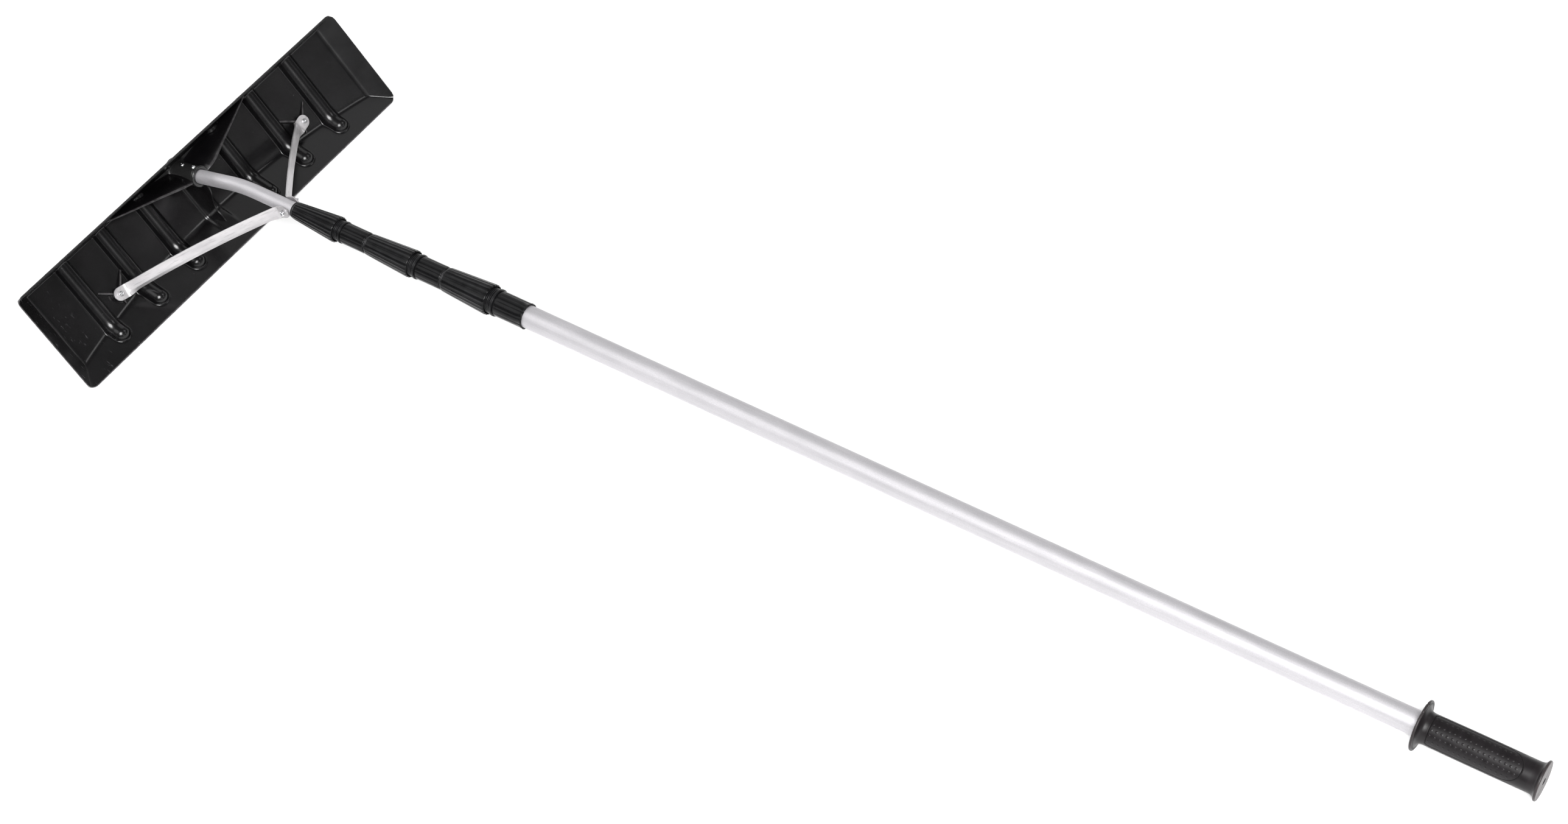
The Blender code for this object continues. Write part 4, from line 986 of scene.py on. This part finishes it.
def grip():
    """Rubber grip with a dished flange, two dotted inlays and a flat end disc."""
    start, end, _, flange = along_pole("grip")
    bore = along_pole("outer_tube")[3] + GAP
    columns = 420
    angle = circle(columns)
    nick = sum(depth * np.exp(-((angle - centre) * flange / NICK_HALF_WIDTH) ** 4)
               for centre, depth in FLANGE_NICKS)
    rear = start + 0.0034
    rows = [(0, end - 0.005), (bore, end - 0.005)] + steps(bore, start, (0, 0.4), (0.4, 0))
    rows += steps(flange, start, (-4.0, 0.1))
    rows += steps(flange - nick, start, (-1.2, 0.2, 0.1), (-0.4, 0.6, 0.3), (0, 1.4, 0.3),
                  (0, 2.6, 0.3), (-0.4, 3.1, 0.4), (-1.0, 3.4, 0.2))
    # negative tones paint shade on the back of the flange
    rows += steps(flange, rear, (-2.4, -0.2, -0.3), (-3.4, 0, -0.4))
    for share in np.linspace(0.05, 1.0, 18):
        fall = 0.72 * (1 - share) ** 6 + 0.28 * (1 - share) ** 2
        rows.append((GRIP_RADIUS + (flange - 0.0040 - GRIP_RADIUS) * fall,
                     rear + 0.0092 * share, 0.03))
    for z in np.arange(rear + 0.0095, end - 0.0140, GRIP_ROW_STEP):
        swell = 0.0003 * math.sin(math.pi * (z - rear) / (end - rear - 0.012))
        relief, shade = grip_relief(z, angle, start + 0.0140, end - 0.0230)
        rows.append((GRIP_RADIUS + swell + relief, z, shade))
    disc = GRIP_END_RADIUS
    for share in np.linspace(0.05, 1.0, 14):
        rise = 0.25 * share ** 2 + 0.75 * share ** 6
        rows.append((GRIP_RADIUS + (disc - 0.0010 - GRIP_RADIUS) * rise,
                     end - 0.0136 + 0.0104 * share, 0.03))
    rows += steps(disc, end, (-0.2, -2.7, 0.3), (0, -2.0, 0.4), (-0.1, -0.8, 0.5),
                  (-0.6, -0.2, 0.8), (-1.4, 0, 1.0))
    across = np.sin(angle - END_SEAM_ANGLE)
    for radius in np.linspace(disc - 0.0024, END_HOLE_RADIUS + 0.0006, 22):
        seam = bell(across * radius, 0.0003)
        # the seam is left less pale: painted shade along the slot
        rows.append((np.full(columns, radius), end - 0.00015 * seam, 1.0 - 0.5 * seam))
    # negative tones paint shade inside the end hole
    rows += steps(END_HOLE_RADIUS, end, (0.2, -0.1, 0.4), (0, -0.4, -0.6), (-0.2, -2.2, -1.0),
                  (-0.6, -2.6, -1.0))
    rows.append((0, end - 0.0026, -1.0))
    turned_piece("grip_fine", rows, columns, "grip_rubber", POLE, "pole", replaced=("grip",),
                 sharp=60)


# ---- braces and fasteners
def strip_section(centre, across, normal, half_width, fold=0.0):
    """Outline of a brace's strip, with its lower part folded back along a crease."""
    crease_at = min(BRACE_CREASE, half_width * 0.5)
    width = half_width - crease_at
    flap = across * math.cos(fold) - normal * math.sin(fold)
    flap_normal = normal * math.cos(fold) + across * math.sin(fold)
    crease = centre + across * crease_at
    soften = min(CREASE_ROUND, width * 0.4)
    line = [(centre - across * half_width, normal), (crease - across * soften, normal),
            (crease, (normal + flap_normal).normalized()),
            (crease + flap * soften, flap_normal), (crease + flap * width, flap_normal)]
    thick = BRACE_THICKNESS / 2
    return [p + n * thick for p, n in line] + [p - n * thick for p, n in reversed(line)]


def downward(run, normal):
    """Direction across a strip, towards its lower side."""
    across = run.cross(normal).normalized()
    return across if across.y < 0 else -across


def brace_sections(side):
    """Cross-sections of a brace, from its round end on the boss to the one on the tube."""
    half = BRACE_WIDTH / 2
    lift = GAP + BRACE_THICKNESS / 2
    boss_end = Vector((side * BOSS[0], BOSS[1], BOSS[2] + lift))
    tube_end = POLE_ROOT + POLE_DIRECTION * BRACE_STATION
    tube_end = tube_end + Vector((side * (HEAD_TUBE_RADIUS + lift), 0, 0))
    span = tube_end - boss_end
    boss_run = Vector((span.x, span.y, 0)).normalized()
    tube_run = Vector((0, span.y, span.z)).normalized()
    boss_normal = Vector((0, 0, 1))
    tube_normal = Vector((side, 0, 0))
    boss_fold = boss_end + boss_run * BRACE_FOLD_DISTANCE
    tube_fold = tube_end - tube_run * BRACE_FOLD_DISTANCE
    middle_run = (tube_fold - boss_fold).normalized()
    boss_across = downward(boss_run, boss_normal)
    tube_across = downward(tube_run, tube_normal)
    end_angles = np.radians((10, 24, 38, 52, 66, 78, 90))
    sections = []

    def round_end(end, out, across, normal, angles):
        for angle in angles:
            centre = end + out * (half * math.cos(angle))
            sections.append(strip_section(centre, across, normal, half * math.sin(angle)))

    def rolled(fold, run_in, run_out, frame_in, frame_out):
        for share in np.linspace(0, 1, 6):
            shift = run_out * share ** 2 - run_in * (1 - share) ** 2
            across, normal = (a.lerp(b, share).normalized() for a, b in zip(frame_in, frame_out))
            sections.append(strip_section(fold + shift * BRACE_ROLL, across, normal, half))

    def middle(share):
        twist = 1 - (1 - min(share / BRACE_TWIST_SHARE, 1.0)) ** 2
        across = boss_across.lerp(tube_across, twist)
        across = (across - middle_run * across.dot(middle_run)).normalized()
        normal = across.cross(middle_run)
        return across, normal if normal.z > 0 else -normal

    round_end(boss_end, -boss_run, boss_across, boss_normal, end_angles)
    rolled(boss_fold, boss_run, middle_run, (boss_across, boss_normal), middle(0.0))
    length = (tube_fold - boss_fold).length
    for share in BRACE_STATIONS:
        across, normal = middle(share)
        bow = across * (4 * BRACE_BOW * share * (1 - share))
        into = (min(share, 1 - share) - CREASE_FROM) / CREASE_RUN
        into = min(max(into, 0.0), 1.0)
        centre = boss_fold + middle_run * (length * share) - bow
        sections.append(strip_section(centre, across, normal, half,
                                      BRACE_FOLD * smooth_step(into)))
    rolled(tube_fold, middle_run, tube_run, middle(1.0), (tube_across, tube_normal))
    round_end(tube_end, tube_run, tube_across, tube_normal, end_angles[::-1])
    return sections


def brace(node, side):
    """Make a brace in its own frame, which lies along it and keeps its box tight."""
    points, faces = loft_shape(brace_sections(side))
    points = [Vector(p) for p in points]
    start, end = points[0], points[-1]
    along = (end - start).normalized()
    across = Vector((0, 0, 1)).cross(along).normalized()
    own = placed_frame(along, across, along.cross(across), start)
    points = [own.inverted() @ p for p in points]
    new_piece(f"{node}_fine", points, faces, "brace_aluminium", BLADE @ own, "head",
              replaced=(node,), sharp=32, bevel=0.0004)


def hexagon(columns, across_flats):
    """Radius of a hexagon at evenly spaced columns."""
    sector = (circle(columns) + math.pi / 6) % (math.pi / 3) - math.pi / 6
    return across_flats / 2 / np.cos(sector)


def fastener(node, rows, columns, place, ring=False):
    """Turned steel piece in place of a CAD fastener."""
    turned_piece(f"{node}_fine", rows, columns, "screw_steel", place, "head", ring=ring,
                 replaced=(node,))


def cap_screw(node, axis):
    """Socket cap screw: knurled head with a hexagonal recess, and a threaded tip."""
    place, length = turned_place(node, axis)
    columns = 72
    seat = length - SCREW_HEAD_HEIGHT
    knurl = 0.00012 * (1 - np.cos(24 * circle(columns))) / 2
    key = hexagon(columns, KEY_ACROSS_FLATS)
    rows = [(0, 0)] + steps(SCREW_RADIUS, 0.0, (-0.5, 0), (-0.2, 0.4))
    for turn in range(int((0.0060 - 0.0005) / THREAD_PITCH)):
        z = 0.0005 + THREAD_PITCH * turn
        rows += [(SCREW_RADIUS - 0.0003, z), (SCREW_RADIUS, z + THREAD_PITCH / 2)]
    head = SCREW_HEAD_RADIUS
    rows += [(SCREW_RADIUS, 0.0062), (SCREW_RADIUS, seat), (head - 0.0003, seat),
             (head - knurl, seat + 0.0003), (head - knurl, length - 0.0008)]
    rows += steps(head, length, (-0.2, -0.4), (-0.7, 0))
    rows += steps(key, length, (0.3, 0), (0, -0.3), (0, -2.1)) + [(0, length - 0.0024)]
    fastener(node, rows, columns, place)


def round_screw(node, axis):
    """Self-tapping screw with a domed head and a small cross recess."""
    place, length = turned_place(node, axis)
    columns = 40
    seat = length - 0.0023
    rows = [(0, 0), (SCREW_RADIUS, 0), (SCREW_RADIUS, seat), (DOME_RADIUS, seat)]
    for angle in np.radians((0, 18, 36, 54, 70)):
        rows.append((DOME_RADIUS * math.cos(angle), seat + 0.0002 + 0.0021 * math.sin(angle)))
    cross = 0.0006 + 0.0002 * np.cos(4 * circle(columns))
    rows += [(cross, length), (cross * 0.8, length - 0.0004), (0, length - 0.0006)]
    fastener(node, rows, columns, place)


def hex_nut(node, axis):
    """Hexagon nut with its corners chamfered at both ends."""
    place, height = turned_place(node, axis)
    columns = 72
    flats = hexagon(columns, NUT_ACROSS_FLATS)
    face = NUT_ACROSS_FLATS / 2 - 0.0001
    bore = SCREW_RADIUS + 0.00005
    side = [(bore, 0.0004), (bore + 0.0004, 0), (face, 0),
            (np.minimum(flats, face + 0.0001), 0.0001),
            (flats, np.maximum((flats - face) * 0.55, 0.0001))]
    rows = side + [(radius, height - z) for radius, z in reversed(side)]
    fastener(node, rows, columns, place, ring=True)


def fasteners():
    for hand in ("left", "right"):
        cap_screw(f"brace_screw_{hand}", FACE_OUT)
        hex_nut(f"brace_nut_{hand}", FACE_OUT)
    socket_up = (BLADE.to_3x3() @ SOCKET_UP).normalized()
    for number in (1, 2):
        round_screw(f"socket_screw_{number}", socket_up)
    cap_screw("tube_bolt", -X_AXIS)
    hex_nut("tube_nut", X_AXIS)


def inner_pieces():
    """The collets and bushes keep their CAD shapes; they lie inside the clamps and tubes."""
    for number in (1, 2, 3):
        for node in (f"collet_{number}", f"guide_bush_{number}"):
            piece = frame["nodes"][node]
            for slot in piece.material_slots:
                slot.material = MATERIALS["collet_plastic"]


# ---- studio
def camera():
    data = bpy.data.cameras.new("camera")
    data.lens = CAMERA_LENS_MM
    data.sensor_width = SENSOR_WIDTH_MM
    data.clip_end = 100
    aim = axis_frame(CAMERA_PLACE, CAMERA_PLACE - CAMERA_TARGET)
    bpy.context.scene.camera = put("camera", data, aim @ Matrix.Rotation(CAMERA_ROLL, 4, "Z"))


def soft_light(name, towards, distance, size, radiance):
    """A soft box in a direction from the middle of the tool, facing it."""
    data = bpy.data.lights.new(name, "AREA")
    data.shape = "RECTANGLE"
    data.size, data.size_y = size
    data.energy = radiance * math.pi * size[0] * size[1]
    direction = Vector(towards).normalized()
    put(name, data, axis_frame(LIGHT_TARGET + direction * distance, direction))


def studio():
    bpy.ops.mesh.primitive_plane_add(size=40, location=(0, 0, 0))
    floor = bpy.context.object
    floor.name = "studio_floor"
    floor.data.materials.append(studio_floor())
    for light in LIGHTS:
        soft_light(*light)
    world = bpy.data.worlds.new("studio")
    bpy.context.scene.world = world
    world.use_nodes = True
    background = world.node_tree.nodes["Background"]
    background.inputs["Color"].default_value = (1.0, 1.0, 1.0, 1.0)
    background.inputs["Strength"].default_value = WORLD_STRENGTH
    bpy.context.scene.view_settings.view_transform = "Standard"


blade()
head_tube()
for tube, rider in (("tube_2", "section_2"), ("tube_3", "section_3"), ("outer_tube", "pole")):
    straight_tube(tube, rider)
for clamp, rider in ((1, "section_2"), (2, "section_3"), (3, "pole")):
    clamp_nut(clamp, f"nut_{clamp}")
    clamp_body(clamp, rider)
grip()
for hand_name, hand_side in (("left", -1), ("right", 1)):
    brace(f"brace_{hand_name}", hand_side)
fasteners()
inner_pieces()
camera()
studio()
